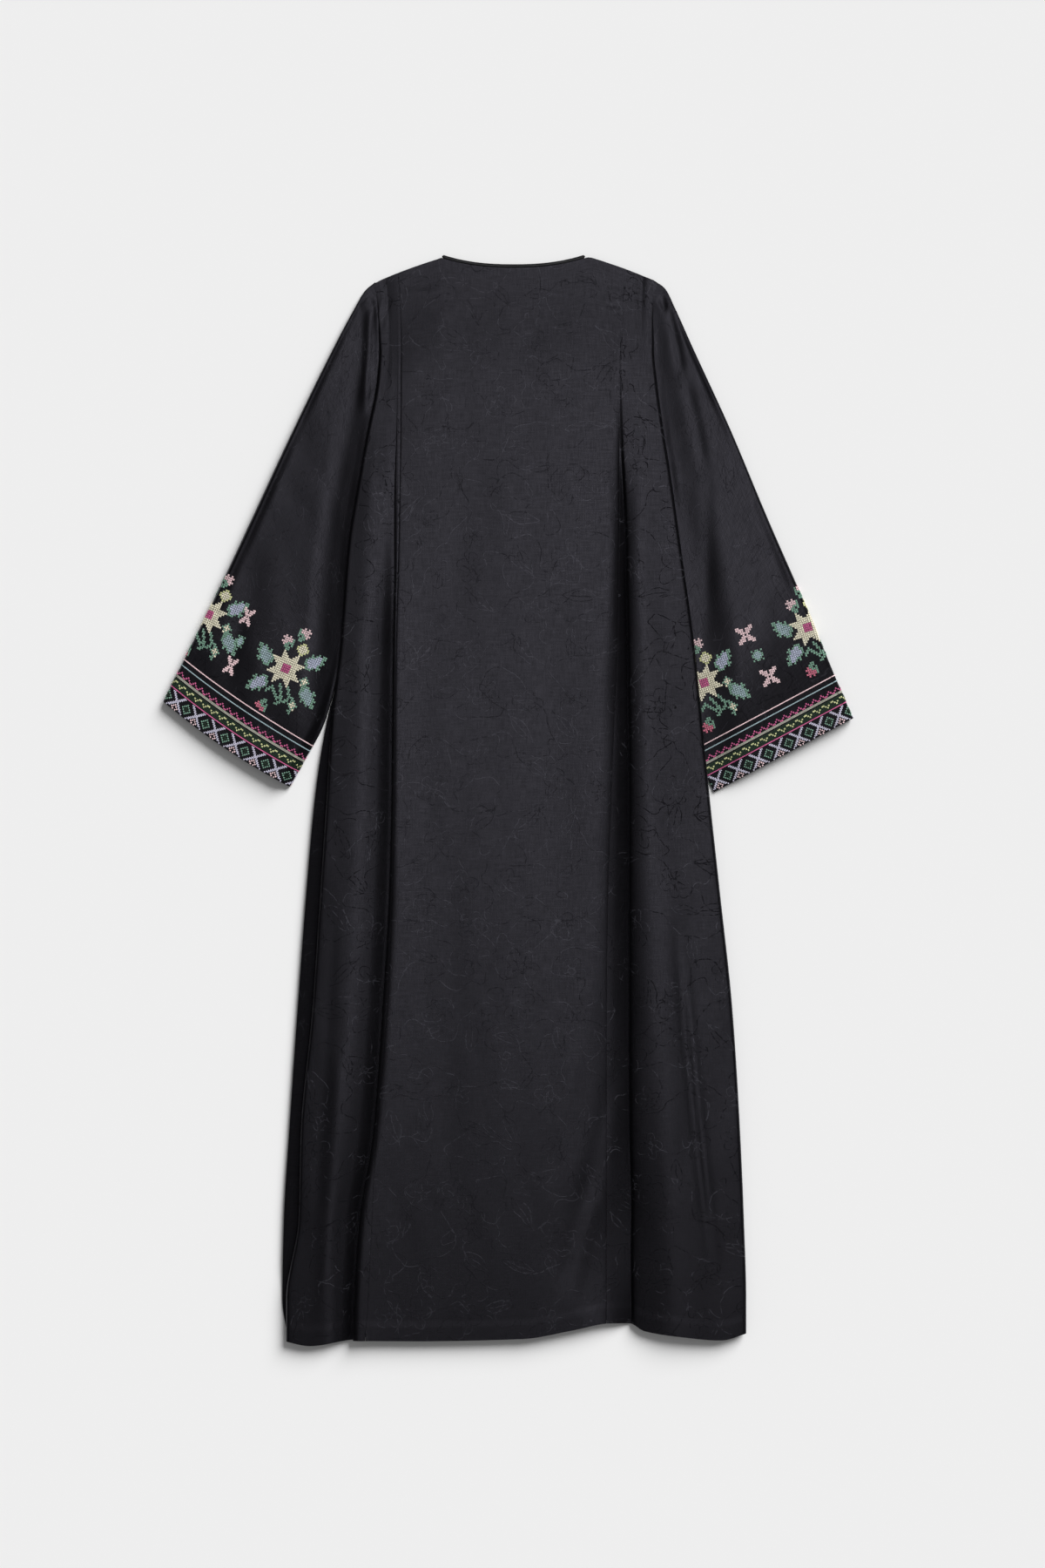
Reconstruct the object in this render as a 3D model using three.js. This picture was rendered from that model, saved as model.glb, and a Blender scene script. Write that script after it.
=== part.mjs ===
// A long-sleeved kaftan of satin jacquard, laid flat with its back upwards, in millimetres.
//
// The origin is on the table under the middle of the garment. +X is towards the sleeve on
// the right of the view, +Y towards the neck and +Z up. The front panel lies on the table, a
// back of three panels lies over it, and the two sleeves are flattened tubes whose inner
// edges run under the side folds of the back. Every piece is a wall of cloth: a grid of
// points on its middle surface, thickened by half the wall to each side.

import * as THREE from 'three';

// ---------------------------------------------------------------- driving dimensions

const WALL = 1.2;                 // thickness of the satin with its seam allowances pressed
const GAP = 0.3;                  // clearance between two pieces that are sewn together
const SEAM_GAP = 0.5;             // the same along X, where the walls slope and twist
const TABLE_LAYER = WALL / 2;     // middle height of a layer that lies on the table
const FOLD_RADIUS = 0.9;          // radius of a pressed fold, to the middle of the wall
const TUCK_LAYER = TABLE_LAYER + 2 * FOLD_RADIUS;   // a layer folded back over itself
const SEAM_STEP = WALL + GAP;     // middle to middle, where one piece lies on another
const RETURN_LAYER = TUCK_LAYER + SEAM_STEP;        // underside of the rolled side folds
const SHOULDER_LAYER = TABLE_LAYER + SEAM_STEP;     // the back, where it meets the front

const HEM_Y = -712;               // level of the hem before it dips and lifts
const TOP_Y = 700;                // level of the shoulder before it slopes
const HEM_BLEND = 120;            // length over which the hem's dips die out
const TOP_BLEND = 150;            // length over which the shoulder's slope dies out
const SHOULDER_ROLL = 42;         // length over which the back comes down to the shoulder

const PAST_SEAM = 1.5;            // how far past a seam its slope is taken

const NECK_CENTRE = -1.5;
const NECK_HALF = 97;             // half of the width of the neck, to the panels' corners
const NECK_BASE_Y = 700.8;        // edge of the back panel at the middle of the neck
const NECK_SCOOP = 13.5;          // depth of the back neck
const NECK_SCOOP_POWER = 2.4;
const NECK_EDGE_LAYER = 3.6;      // middle height of the back at the neck
const FRONT_NECK_DEPTH = 165;     // the front neck is cut lower, so that a head passes
const FRONT_NECK_POWER = 1.7;
const NECK_STEPS = 10;            // facets of the neckline from corner to corner
const FRONT_BLEND = 420;          // length over which the front neck's depth dies out
const FRONT_HEM_INSET = 3;
const FRONT_STUB = 2.2;           // turned edge of the front along the armhole

const SHOULDER_CENTRE = 3;
const SHOULDER_FALL = 0.30;       // slope of the shoulder next to the neck
const SHOULDER_CURVE = 0.0007;    // how fast the slope grows towards the sleeve

const BINDING_WIDTH = 4.4;
const BINDING_HEIGHT = 2.2;
const BINDING_END = 2;             // how far short of the corners it stops

const ARMHOLE_LAP = 3.3;          // how far the sleeve's head reaches under the back
const UNDERARM_Y = 430;
const ARMHOLE_ROLL = [556, 604];  // levels between which the side fold opens to the seam
const ARMHOLE_TURN = 0.3 * Math.PI;

// ---------------------------------------------------------------- sections

// One row for each cross-section of the body, from the hem to the shoulder.
//   leftFold, rightFold     outermost line of the back's rolled side folds
//   leftSide, rightSide     side seam or, above the underarm, armhole seam of the back
//   leftUnder, rightUnder   outermost line of the front, which lies on the table
//   leftSeam, rightSeam     seams between the back's centre and side panels
//   leftValley, rightValley bottom of the two long folds
//   leftCrest, rightCrest   lip of cloth that stands over each of them on its right
const BODY_COLUMNS = ['y', 'leftFold', 'leftSide', 'leftUnder', 'leftValley', 'leftCrest',
  'leftSeam', 'rightSeam', 'rightValley', 'rightCrest', 'rightUnder', 'rightSide', 'rightFold'];
const BODY_ROWS = [
  [-720, -301, -272, -298, -219, -211, -197, 121, 151, 161, 300, 276, 305],
  [-660, -301, -272, -307, -217, -209, -193, 121, 153, 163, 300, 276, 305],
  [-555, -285, -258, -305, -207, -202, -188, 121, 153, 164, 297, 273, 302],
  [-440, -282, -254, -298, -196, -184, -182, 121, 149, 161, 292, 268, 297],
  [-280, -267, -240, -287, -185, -172, -168, 121, 148, 159, 282, 258, 287],
  [-120, -256, -230, -275, -176, -163, -161, 123, 148, 159, 265, 241, 270],
  [0, -248, -222, -264, -171, -160, -158, 127, 148, 158, 251, 228, 257],
  [100, -242, -219, -248.5, -167, -159, -157, 131, 148, 158, 228, 217, 247],
  [200, -230, -211, -221, -163, -158, -156, 135, 148, 157, 209, 200, 237],
  [330, -215, -186, -194, -157, -155, -153, 137, 147, 155, 189, 181, 219],
  [430, -201, -172, -167.4, -154, -153, -151, 138, 144, 152, 167.8, 172, 205],
  [480, -195, -174, -169.8, -152, -152, -150.5, 138, 142, 151, 170.4, 175, 197],
  [549, -181.5, -177, -172.8, -151, -151.5, -150, 139, 141, 151, 176.6, 181, 187.5],
  [595, -178, -178, -173.8, -151, -151.5, -150, 140, 143, 152, 178.6, 183, 183],
  [640, -179.5, -179.5, -175.4, -152, -152.5, -151, 142, 146, 154, 177.6, 182, 182],
  [700, -187, -187, -182.8, -154, -155.5, -154, 146, 150, 158, 179.6, 184, 184],
];

// Heights of the back's middle surface at the same kind of rows.
//   edge       top of the side folds        leftFloor, rightFloor  bottom of the two folds
//   plateau    the panels between them      crest                  the lips over the folds
const HEIGHT_COLUMNS = ['y', 'edge', 'plateau', 'leftFloor', 'rightFloor', 'crest'];
const HEIGHT_ROWS = [
  [-720, 12, 14.5, 3.6, 3.4, 17.0],
  [-440, 12.2, 15.0, 3.4, 3.2, 17.6],
  [-120, 12.2, 14.6, 3.6, 3.2, 17.2],
  [200, 12, 14.0, 4.6, 3.8, 16.4],
  [346, 12, 13.6, 6.2, 4.8, 15.4],
  [480, 11.6, 12.8, 9.6, 7.4, 13.4],
  [549, 11, 12.0, 11.0, 10.4, 12.2],
  [640, 9.6, 10.8, 10.8, 10.6, 10.9],
  [720, 8.4, 9.6, 9.6, 9.6, 9.6],
];

// The hem's level, a row for each dip and lift from left to right.
const HEM_COLUMNS = ['x', 'y'];
const HEM_ROWS = [
  [-305, -714], [-270, -720.5], [-215, -713.5], [-128, -714], [10, -711], [75, -700],
  [125, -691], [153, -692], [170, -701], [217, -708], [272, -713], [306, -704],
];

// One row for each section across a sleeve, from the armhole to the cuff, which ends at the
// fold along the top of the arm and at the fold under the arm.
//   along   share of the sleeve's length        puff      height of the cloth in its middle
//   outerFold, innerFold   height of the two folds' middle surface
const SLEEVE_COLUMNS = ['along', 'outerX', 'outerY', 'innerX', 'innerY', 'puff', 'outerFold',
  'innerFold'];
const LEFT_SLEEVE_ROWS = [
  [0, -184, 681.5, -170.2, 430, 8.0, 2.4, 2.4],
  [0.04, -196.5, 671, -172, 423, 8.4, 3.2, 2.4],
  [0.1, -212, 645, -183, 398, 9.0, 4.6, 2.4],
  [0.2, -236, 600, -191, 360, 9.6, 5.6, 2.4],
  [0.4, -292, 486, -210, 268, 10.2, 6.2, 2.4],
  [0.6, -346, 370, -228, 186, 10.6, 6.4, 2.4],
  [0.8, -399, 257, -251.4, 100, 11.2, 6.6, 3.6],
  [0.93, -441, 172.5, -281.5, 44, 13.2, 8.0, 6.0],
  [1, -463, 128, -297, 16, 14.4, 9.0, 7.0],
];
const RIGHT_SLEEVE_ROWS = [
  [0, 181.5, 682, 170.4, 430, 8.0, 2.4, 2.4],
  [0.04, 197, 672, 172.5, 423, 8.4, 3.2, 2.4],
  [0.1, 211, 648, 181.5, 396, 9.0, 4.6, 2.4],
  [0.2, 233.5, 598, 189.5, 352, 9.6, 5.6, 2.4],
  [0.4, 284, 488, 203, 262, 10.2, 6.2, 2.4],
  [0.6, 333, 371, 219, 170, 10.6, 6.4, 2.4],
  [0.8, 384, 254, 236.5, 82, 11.0, 6.6, 2.4],
  [0.93, 425, 155, 254, 30, 12.4, 7.6, 2.4],
  [1, 446, 106, 263.5, 9, 13.2, 8.4, 3.2],
];
const SLEEVE_CLEAR = 6;           // how far past the body's edge a sleeve starts to rise
const SLEEVE_RISE = 40;           // how far from the body's edge a sleeve reaches its height
const SLEEVE_HEAD = 0.09;         // share of its length over which it leaves the armhole

const CHARCOAL = { color: 0x26262c, roughness: 0.45, metalness: 0 };
const GLOSSY_BLACK = { color: 0x131316, roughness: 0.3, metalness: 0 };

// ---------------------------------------------------------------- curves through the rows

const clamp = (value) => Math.min(1, Math.max(0, value));
const ease = (value) => clamp(value) ** 2 * (3 - 2 * clamp(value));
const mix = (from, to, share) => from + (to - from) * share;
const spread = (from, to, steps) => Array.from({ length: steps + 1 },
  (_, step) => mix(from, to, step / steps));

// A smooth curve through one column of a table, with no overshoot between its rows.
function curveThrough(columns, rows, name) {
  const column = columns.indexOf(name);
  const at = rows.map((row) => row[0]);
  const value = rows.map((row) => row[column]);
  const chord = at.slice(1).map((next, i) => (value[i + 1] - value[i]) / (next - at[i]));
  const slope = at.map((_, i) => {
    const before = chord[Math.max(0, i - 1)];
    const after = chord[Math.min(chord.length - 1, i)];
    return before * after > 0 ? 2 * before * after / (before + after) : 0;
  });
  return (place) => {
    const next = at.findIndex((level) => level > place);
    if (next === 0) return value[0];
    if (next < 0) return value[value.length - 1];
    const i = next - 1;
    const span = at[next] - at[i];
    const t = (place - at[i]) / span;
    return mix(value[i], value[next], ease(t))
      + span * t * (1 - t) * (slope[i] * (1 - t) - slope[next] * t);
  };
}

function curvesThrough(columns, rows) {
  return Object.fromEntries(columns.slice(1).map(
    (name) => [name, curveThrough(columns, rows, name)]));
}

const body = curvesThrough(BODY_COLUMNS, BODY_ROWS);
const heights = curvesThrough(HEIGHT_COLUMNS, HEIGHT_ROWS);
const hemLine = curveThrough(HEM_COLUMNS, HEM_ROWS, 'y');

// ---------------------------------------------------------------- outline of the body

function shoulderLine(x) {
  const outwards = Math.max(0, Math.abs(x - SHOULDER_CENTRE) - NECK_HALF);
  const corner = NECK_BASE_Y + NECK_SCOOP;
  return corner - SHOULDER_FALL * outwards - SHOULDER_CURVE * outwards ** 2;
}

function topLine(x) {
  const share = Math.abs(x - NECK_CENTRE) / NECK_HALF;
  return share < 1 ? NECK_BASE_Y + NECK_SCOOP * share ** NECK_SCOOP_POWER : shoulderLine(x);
}

function frontTopLine(x) {
  const share = Math.abs(x - NECK_CENTRE) / NECK_HALF;
  const corner = NECK_BASE_Y + NECK_SCOOP;
  const depth = FRONT_NECK_DEPTH + NECK_SCOOP;
  return share < 1 ? corner - depth * (1 - share ** FRONT_NECK_POWER) : shoulderLine(x);
}

// Bends a level section so that the last ones follow the hem and the shoulder or neck.
function bent(x, y, hem, top, topBlend) {
  const low = 1 - ease((y - HEM_Y) / HEM_BLEND);
  const high = ease((y - TOP_Y + topBlend) / topBlend);
  return y + (hem - HEM_Y) * low + (top - TOP_Y) * high;
}

// ---------------------------------------------------------------- heights of the back

// How open the side fold is: 1 where it is a full roll, 0 where the armhole seam shows.
const rolled = (y) => 1 - ease((y - ARMHOLE_ROLL[0]) / (ARMHOLE_ROLL[1] - ARMHOLE_ROLL[0]));
const rollRadius = (y) => (heights.edge(y) - RETURN_LAYER) / 2;
const rollTurn = (y) => mix(ARMHOLE_TURN, Math.PI, rolled(y));
const rollReach = (y) => rollRadius(y) * Math.sin(Math.min(rollTurn(y), Math.PI / 2));

// Middle surface of the back between its side folds: level places joined by soft slopes.
function backHeight(x, y) {
  const leftEdge = body.leftFold(y) + rollReach(y);
  const rightEdge = body.rightFold(y) - rollReach(y);
  const knots = [
    [leftEdge, heights.edge(y)],
    [mix(leftEdge, body.leftValley(y), 0.45), heights.plateau(y)],
    [body.leftValley(y) - 3, heights.leftFloor(y)],
    [body.leftCrest(y) + 1, heights.crest(y)],
    [body.leftCrest(y) + 60, heights.plateau(y)],
    [body.rightValley(y) - 26, heights.plateau(y)],
    [body.rightValley(y), heights.rightFloor(y)],
    [body.rightCrest(y), heights.crest(y)],
    [mix(body.rightCrest(y), rightEdge, 0.5), heights.plateau(y)],
    [rightEdge, heights.edge(y)],
  ];
  const next = Math.max(1, knots.findIndex(([knot]) => knot >= x));
  if (x >= rightEdge) return heights.edge(y);
  const [fromX, fromZ] = knots[next - 1];
  const [toX, toZ] = knots[next];
  const level = mix(fromZ, toZ, ease((x - fromX) / (toX - fromX)));
  const onNeck = 1 - ease((Math.abs(x - NECK_CENTRE) - NECK_HALF + 4) / 12);
  const toArmhole = Math.min(x - body.leftFold(y), body.rightFold(y) - x);
  const atSleeve = 1 - ease((toArmhole - 6) / 14);
  const foot = Math.max(mix(SHOULDER_LAYER, NECK_EDGE_LAYER, onNeck),
    mix(SHOULDER_LAYER, RETURN_LAYER, atSleeve));
  return mix(foot, level, ease((topLine(x) - y) / SHOULDER_ROLL));
}

// ---------------------------------------------------------------- walls of cloth

const within = (index, count) => Math.min(count - 1, Math.max(0, index));

function solidFrom(vertices, faces) {
  const geometry = new THREE.BufferGeometry();
  const positions = vertices.flatMap((vertex) => vertex.toArray());
  geometry.setAttribute('position', new THREE.Float32BufferAttribute(positions, 3));
  geometry.setIndex(faces);
  geometry.computeVertexNormals();
  return geometry;
}

// The closed solid of a wall whose middle surface is a grid of points, row after row. With
// joined set, each row is a ring and the wall is a tube, open at both ends. The first or last
// column of a row that runs past a seam only gives the slope there, so that the two panels
// that meet at the seam have the same slope: pastFirst and pastLast say how many such there are.
function wallAround(grid, { joined = false, pastFirst = 0, pastLast = 0 } = {}) {
  const rows = grid.length;
  const all = grid[0].length;
  const columns = all - pastFirst - pastLast;
  const around = (j, count) => (joined ? (j + count) % count : within(j, count));
  const vertices = [1, -1].flatMap((side) => grid.flatMap((points, i) => points.map((point, j) => {
    const across = points[around(j + 1, all)].clone().sub(points[around(j - 1, all)]);
    const along = grid[within(i + 1, rows)][j].clone().sub(grid[within(i - 1, rows)][j]);
    return point.clone().addScaledVector(across.cross(along).normalize(), side * WALL / 2);
  }).slice(pastFirst, all - pastLast)));
  const index = (side, i, j) => (side * rows + i) * columns + around(j, columns);
  const faces = [];
  const quad = (a, b, c, d) => faces.push(a, b, c, a, c, d);
  const strips = joined ? columns : columns - 1;
  for (let j = 0; j < strips; j += 1) {
    for (let i = 0; i < rows - 1; i += 1) {
      quad(index(0, i, j), index(0, i, j + 1), index(0, i + 1, j + 1), index(0, i + 1, j));
      quad(index(1, i, j), index(1, i + 1, j), index(1, i + 1, j + 1), index(1, i, j + 1));
    }
    const last = rows - 1;
    quad(index(0, 0, j), index(1, 0, j), index(1, 0, j + 1), index(0, 0, j + 1));
    quad(index(0, last, j), index(0, last, j + 1), index(1, last, j + 1), index(1, last, j));
  }
  for (let i = 0; i < rows - 1 && !joined; i += 1) {
    const last = columns - 1;
    quad(index(0, i, 0), index(0, i + 1, 0), index(1, i + 1, 0), index(1, i, 0));
    quad(index(0, i, last), index(1, i, last), index(1, i + 1, last), index(0, i + 1, last));
  }
  return solidFrom(vertices, faces);
}

// ---------------------------------------------------------------- panels of the body

// Levels of the sections, closer together towards the hem and the shoulder.
const BODY_LEVELS = [HEM_Y, -684, -648, ...spread(-540, 380, 8), 430, 480, 530, 560, 582, 604,
  640, 672, TOP_Y];
const FRONT_LEVELS = [HEM_Y, ...spread(-600, 300, 6), ...spread(380, 640, 5), 672, TOP_Y];

const NECK_STOPS = spread(-1, 1, NECK_STEPS).map((share) => NECK_CENTRE + share * NECK_HALF);

// A grid over the back. place(y) gives a section's points as [x, z] pairs, and z may be left
// out for a point between the side folds, where the height of the back holds.
function backGrid(place) {
  return BODY_LEVELS.map((level) => place(level).map(([firstX], j) => {
    const y = bent(firstX, level, hemLine(firstX), topLine(firstX), TOP_BLEND);
    const [x, z] = place(y)[j];
    return new THREE.Vector3(x, y, z ?? backHeight(x, y));
  }));
}

function backCentre() {
  return wallAround(backGrid((y) => {
    const left = body.leftSeam(y) + SEAM_GAP / 2;
    const right = body.rightSeam(y) - SEAM_GAP / 2;
    const stops = [
      left - PAST_SEAM, ...spread(left, NECK_STOPS[0], 3), ...NECK_STOPS.slice(1),
      ...spread(NECK_STOPS[NECK_STEPS], right, 2).slice(1), right + PAST_SEAM];
    return stops.map((x) => [x]);
  }), { pastFirst: 1, pastLast: 1 });
}

// The underside of a side fold and its roll, from the seam to the top, on the left (-1) or on
// the right (1).
function sideFold(y, hand) {
  const fold = hand < 0 ? body.leftFold(y) : body.rightFold(y);
  const side = hand < 0 ? body.leftSide(y) : body.rightSide(y);
  const radius = rollRadius(y);
  const turn = rollTurn(y);
  const axisX = fold - hand * (rollReach(y) + WALL / 2);
  const axisZ = heights.edge(y) - radius;
  const under = Math.max(0.8, rolled(y) * ((axisX - side) * hand));
  const roll = spread(turn, 0, 6).map((angle) => [
    axisX + hand * radius * Math.sin(angle), axisZ + radius * Math.cos(angle)]);
  const [startX, startZ] = roll[0];
  const drop = (1 - rolled(y)) * Math.sin(turn);
  const run = mix(Math.cos(turn), -1, rolled(y));
  const strip = spread(under, 0, 2).slice(0, -1).map((length) => [
    startX + hand * run * length, startZ - drop * length]);
  return [...strip, ...roll];
}

function backSide(hand) {
  const grid = backGrid((y) => {
    const fold = sideFold(y, hand);
    const foot = ease((shoulderLine(fold[0][0]) - y) / SHOULDER_ROLL);
    const lowered = fold.map(([x, z]) => [x, mix(RETURN_LAYER, z, foot)]);
    const top = fold[fold.length - 1][0];
    const seam = (hand < 0 ? body.leftSeam(y) : body.rightSeam(y)) + hand * SEAM_GAP / 2;
    const valley = hand < 0 ? body.leftValley(y) - 3 : body.rightValley(y);
    const crest = hand < 0 ? body.leftCrest(y) : body.rightCrest(y);
    const stops = hand < 0
      ? [...spread(top, valley, 5), ...spread(valley, Math.min(crest, seam - 1), 3).slice(1)]
      : [...spread(top, crest, 4), ...spread(crest, valley, 3).slice(1),
        ...spread(valley, seam, 3).slice(1, -1)];
    const across = [...lowered, ...[...stops.slice(1), seam, seam - hand * PAST_SEAM].map((x) => [x])];
    return hand < 0 ? across : across.reverse();
  });
  return wallAround(grid, hand < 0 ? { pastLast: 1 } : { pastFirst: 1 });
}

function front() {
  const turn = (axis, hand) => spread(0, Math.PI, 4).map((angle) => [
    axis + hand * FOLD_RADIUS * Math.sin(angle),
    TABLE_LAYER + FOLD_RADIUS * (1 - Math.cos(angle))]);
  const section = (y) => {
    const inset = FOLD_RADIUS + WALL / 2;
    const left = body.leftUnder(y) + inset;
    const right = body.rightUnder(y) - inset;
    const belowArm = 1 - ease((y - UNDERARM_Y + 80) / 60);
    const leftBack = Math.max(FRONT_STUB, (body.leftSide(y) - left) * belowArm);
    const rightBack = Math.max(FRONT_STUB, (right - body.rightSide(y)) * belowArm);
    return [
      [left + leftBack, TUCK_LAYER], ...turn(left, -1).reverse(),
      [mix(left, NECK_STOPS[0], 0.5), TABLE_LAYER],
      ...NECK_STOPS.map((x) => [x, TABLE_LAYER]),
      [mix(right, NECK_STOPS[NECK_STEPS], 0.5), TABLE_LAYER],
      ...turn(right, 1), [right - rightBack, TUCK_LAYER]];
  };
  return wallAround(FRONT_LEVELS.map((level) => section(level).map(([firstX], j) => {
    const hem = hemLine(firstX) + FRONT_HEM_INSET;
    const y = bent(firstX, level, hem, frontTopLine(firstX), FRONT_BLEND);
    const [x, z] = section(y)[j];
    return new THREE.Vector3(x, y, z);
  })));
}

// ---------------------------------------------------------------- sleeves

function sleeve(hand, rows) {
  const sleeveCurves = curvesThrough(SLEEVE_COLUMNS, rows);
  const fold = hand < 0 ? body.leftFold : body.rightFold;
  const side = hand < 0 ? body.leftSide : body.rightSide;
  const stations = [0, 0.02, 0.04, 0.07, ...spread(0.1, 0.86, 9), 0.93, 1];
  return wallAround(stations.map((along) => {
    const at = Object.fromEntries(Object.entries(sleeveCurves).map(
      ([name, curve]) => [name, curve(along)]));
    const outer = new THREE.Vector2(at.outerX, at.outerY);
    const inner = new THREE.Vector2(at.innerX, at.innerY);
    const width = outer.distanceTo(inner);
    const head = 1 - ease(along / SLEEVE_HEAD);
    const plan = (across) => {
      const point = outer.clone().lerp(inner, across / width);
      const armhole = side(point.y) - hand * ARMHOLE_LAP;
      const ends = ease(across / 20) * ease((width - across) / 20);
      point.x = mix(point.x, armhole, head * ends);
      return point;
    };
    const roof = (across) => {
      const point = plan(across);
      const clear = hand * (point.x - fold(point.y)) - SLEEVE_CLEAR;
      const armEdge = mix(RETURN_LAYER, sideFold(point.y, hand)[0][1],
        ease((shoulderLine(point.x) - point.y) / SHOULDER_ROLL)) - SEAM_STEP;
      const level = mix(at.innerFold, at.puff, ease(clear / SLEEVE_RISE));
      const fromOuter = mix(at.outerFold, level, ease(across / 45));
      return mix(fromOuter, Math.max(TUCK_LAYER, armEdge), head);
    };
    const outerRadius = (mix(at.outerFold, TUCK_LAYER, head) - TABLE_LAYER) / 2;
    const innerRadius = (mix(at.innerFold, TUCK_LAYER, head) - TABLE_LAYER) / 2;
    const shares = [0, 0.08, 0.18, 0.3, 0.45, 0.6, 0.74, 0.87, 1];
    const stops = shares.map((share) => mix(outerRadius, width - innerRadius, share));
    const turn = (axis, radius, sign) => spread(0, Math.PI, 4).slice(1, -1).map((angle) => [
      axis + sign * radius * Math.sin(angle), TABLE_LAYER + radius * (1 - Math.cos(angle))]);
    const upper = stops.map((across) => {
      const ends = ease((across - outerRadius) / 12)
        * ease((width - innerRadius - across) / 12);
      const edge = mix(TABLE_LAYER + 2 * outerRadius, TABLE_LAYER + 2 * innerRadius,
        across / width);
      return [across, mix(edge, roof(across), ends)];
    });
    const ring = [
      ...stops.map((across) => [across, TABLE_LAYER]),
      ...turn(width - innerRadius, innerRadius, 1),
      ...upper.reverse(),
      ...turn(outerRadius, outerRadius, -1).reverse()];
    const points = ring.map(([across, z]) => {
      const point = plan(across);
      return new THREE.Vector3(point.x, point.y, z);
    });
    return hand < 0 ? points : points.reverse();
  }), { joined: true });
}

// ---------------------------------------------------------------- neck binding

// A closed oval rod along a row of points.
function rod(points) {
  const sides = 8;
  const vertices = [];
  points.forEach((point, i) => {
    const before = points[Math.max(0, i - 1)];
    const after = points[Math.min(points.length - 1, i + 1)];
    const along = after.clone().sub(before).setZ(0).normalize();
    const across = new THREE.Vector3(-along.y, along.x, 0);
    for (let k = 0; k < sides; k += 1) {
      const angle = 2 * Math.PI * (k + 0.5) / sides;
      const vertex = point.clone().addScaledVector(across, BINDING_WIDTH / 2 * Math.cos(angle));
      vertex.z += BINDING_HEIGHT / 2 * Math.sin(angle) / Math.cos(Math.PI / sides);
      vertices.push(vertex);
    }
  });
  const faces = [];
  const last = points.length - 1;
  for (let i = 0; i < last; i += 1) {
    for (let k = 0; k < sides; k += 1) {
      const next = (k + 1) % sides;
      const [a, b] = [i * sides + k, i * sides + next];
      faces.push(a, b, b + sides, a, b + sides, a + sides);
    }
  }
  for (let k = 1; k < sides - 1; k += 1) {
    faces.push(0, k + 1, k);
    faces.push(last * sides, last * sides + k, last * sides + k + 1);
  }
  return solidFrom(vertices, faces);
}

// The binding lies just outside the edge of a panel, whose line is a function of x, with the
// same facets as that edge.
function binding(edgeLine, height) {
  const offset = BINDING_WIDTH / 2 + GAP + 0.05;
  const ends = [NECK_STOPS[0] + BINDING_END, NECK_STOPS[NECK_STEPS] - BINDING_END];
  return rod([ends[0], ...NECK_STOPS.slice(1, -1), ends[1]].map((x) => {
    const slope = (edgeLine(x + 0.5) - edgeLine(x - 0.5));
    const length = Math.hypot(1, slope);
    return new THREE.Vector3(x - offset * slope / length, edgeLine(x) + offset / length, height);
  }));
}

// ---------------------------------------------------------------- the garment

const kaftan = new THREE.Group();

function add(name, geometry, finish) {
  const mesh = new THREE.Mesh(geometry, new THREE.MeshStandardMaterial(finish));
  mesh.name = name;
  kaftan.add(mesh);
}

add('front', front(), CHARCOAL);
add('back_centre', backCentre(), CHARCOAL);
add('back_side_left', backSide(-1), CHARCOAL);
add('back_side_right', backSide(1), CHARCOAL);
add('sleeve_left', sleeve(-1, LEFT_SLEEVE_ROWS), CHARCOAL);
add('sleeve_right', sleeve(1, RIGHT_SLEEVE_ROWS), CHARCOAL);
add('neck_binding_back', binding(topLine, NECK_EDGE_LAYER), GLOSSY_BLACK);
add('neck_binding_front', binding(frontTopLine, BINDING_HEIGHT / 2), GLOSSY_BLACK);

export default kaftan;
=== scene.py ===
"""A long-sleeved kaftan of charcoal satin jacquard, laid flat with its back upwards.

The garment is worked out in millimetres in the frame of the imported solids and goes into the
meshes in metres: +X to the right of the view, +Y towards the neck, +Z up from the table.
Every piece of cloth is a grid of points on its middle surface, thickened into a closed shell.
"""

import logging
import math
from dataclasses import dataclass, field
from enum import Enum
from typing import Callable, ClassVar

import bpy
import numpy as np
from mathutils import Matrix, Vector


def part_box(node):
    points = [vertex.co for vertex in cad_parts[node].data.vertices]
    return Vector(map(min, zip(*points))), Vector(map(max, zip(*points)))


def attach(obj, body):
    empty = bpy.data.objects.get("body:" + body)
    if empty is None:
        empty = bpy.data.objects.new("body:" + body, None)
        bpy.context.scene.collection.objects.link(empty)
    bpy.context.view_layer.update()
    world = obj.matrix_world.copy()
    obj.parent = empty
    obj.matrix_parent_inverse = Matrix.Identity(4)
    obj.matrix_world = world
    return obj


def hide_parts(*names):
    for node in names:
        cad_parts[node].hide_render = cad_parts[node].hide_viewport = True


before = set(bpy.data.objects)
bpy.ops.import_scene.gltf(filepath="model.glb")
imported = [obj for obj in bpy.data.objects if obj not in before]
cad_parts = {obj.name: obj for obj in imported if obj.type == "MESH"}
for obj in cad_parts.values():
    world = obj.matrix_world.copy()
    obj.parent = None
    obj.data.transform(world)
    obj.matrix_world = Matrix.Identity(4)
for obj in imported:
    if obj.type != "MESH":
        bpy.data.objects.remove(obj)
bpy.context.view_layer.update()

Array = np.ndarray
Socket = bpy.types.NodeSocket
Piece = bpy.types.Object
Material = bpy.types.Material
Pair = tuple[float, float]
Triple = tuple[float, float, float]
Colour = tuple[float, float, float, float]
Section = Callable[[Array, Array], tuple[Array, Array]]

LOG = logging.getLogger("kaftan")
MM = 0.001
SHARP = math.radians(55)
SIDES = {-1: "left", 1: "right"}


# ------------------------------------------------------------------ curves

def ease(value: Array) -> Array:
    """Soft step from 0 to 1: the clamped value squared, times three less twice itself."""
    share = np.clip(value, 0.0, 1.0)
    return share * share * (3.0 - 2.0 * share)


def mix(start: Array, end: Array, share: Array) -> Array:
    """Straight blend: start plus the share of the way to end."""
    return start + (end - start) * share


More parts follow.
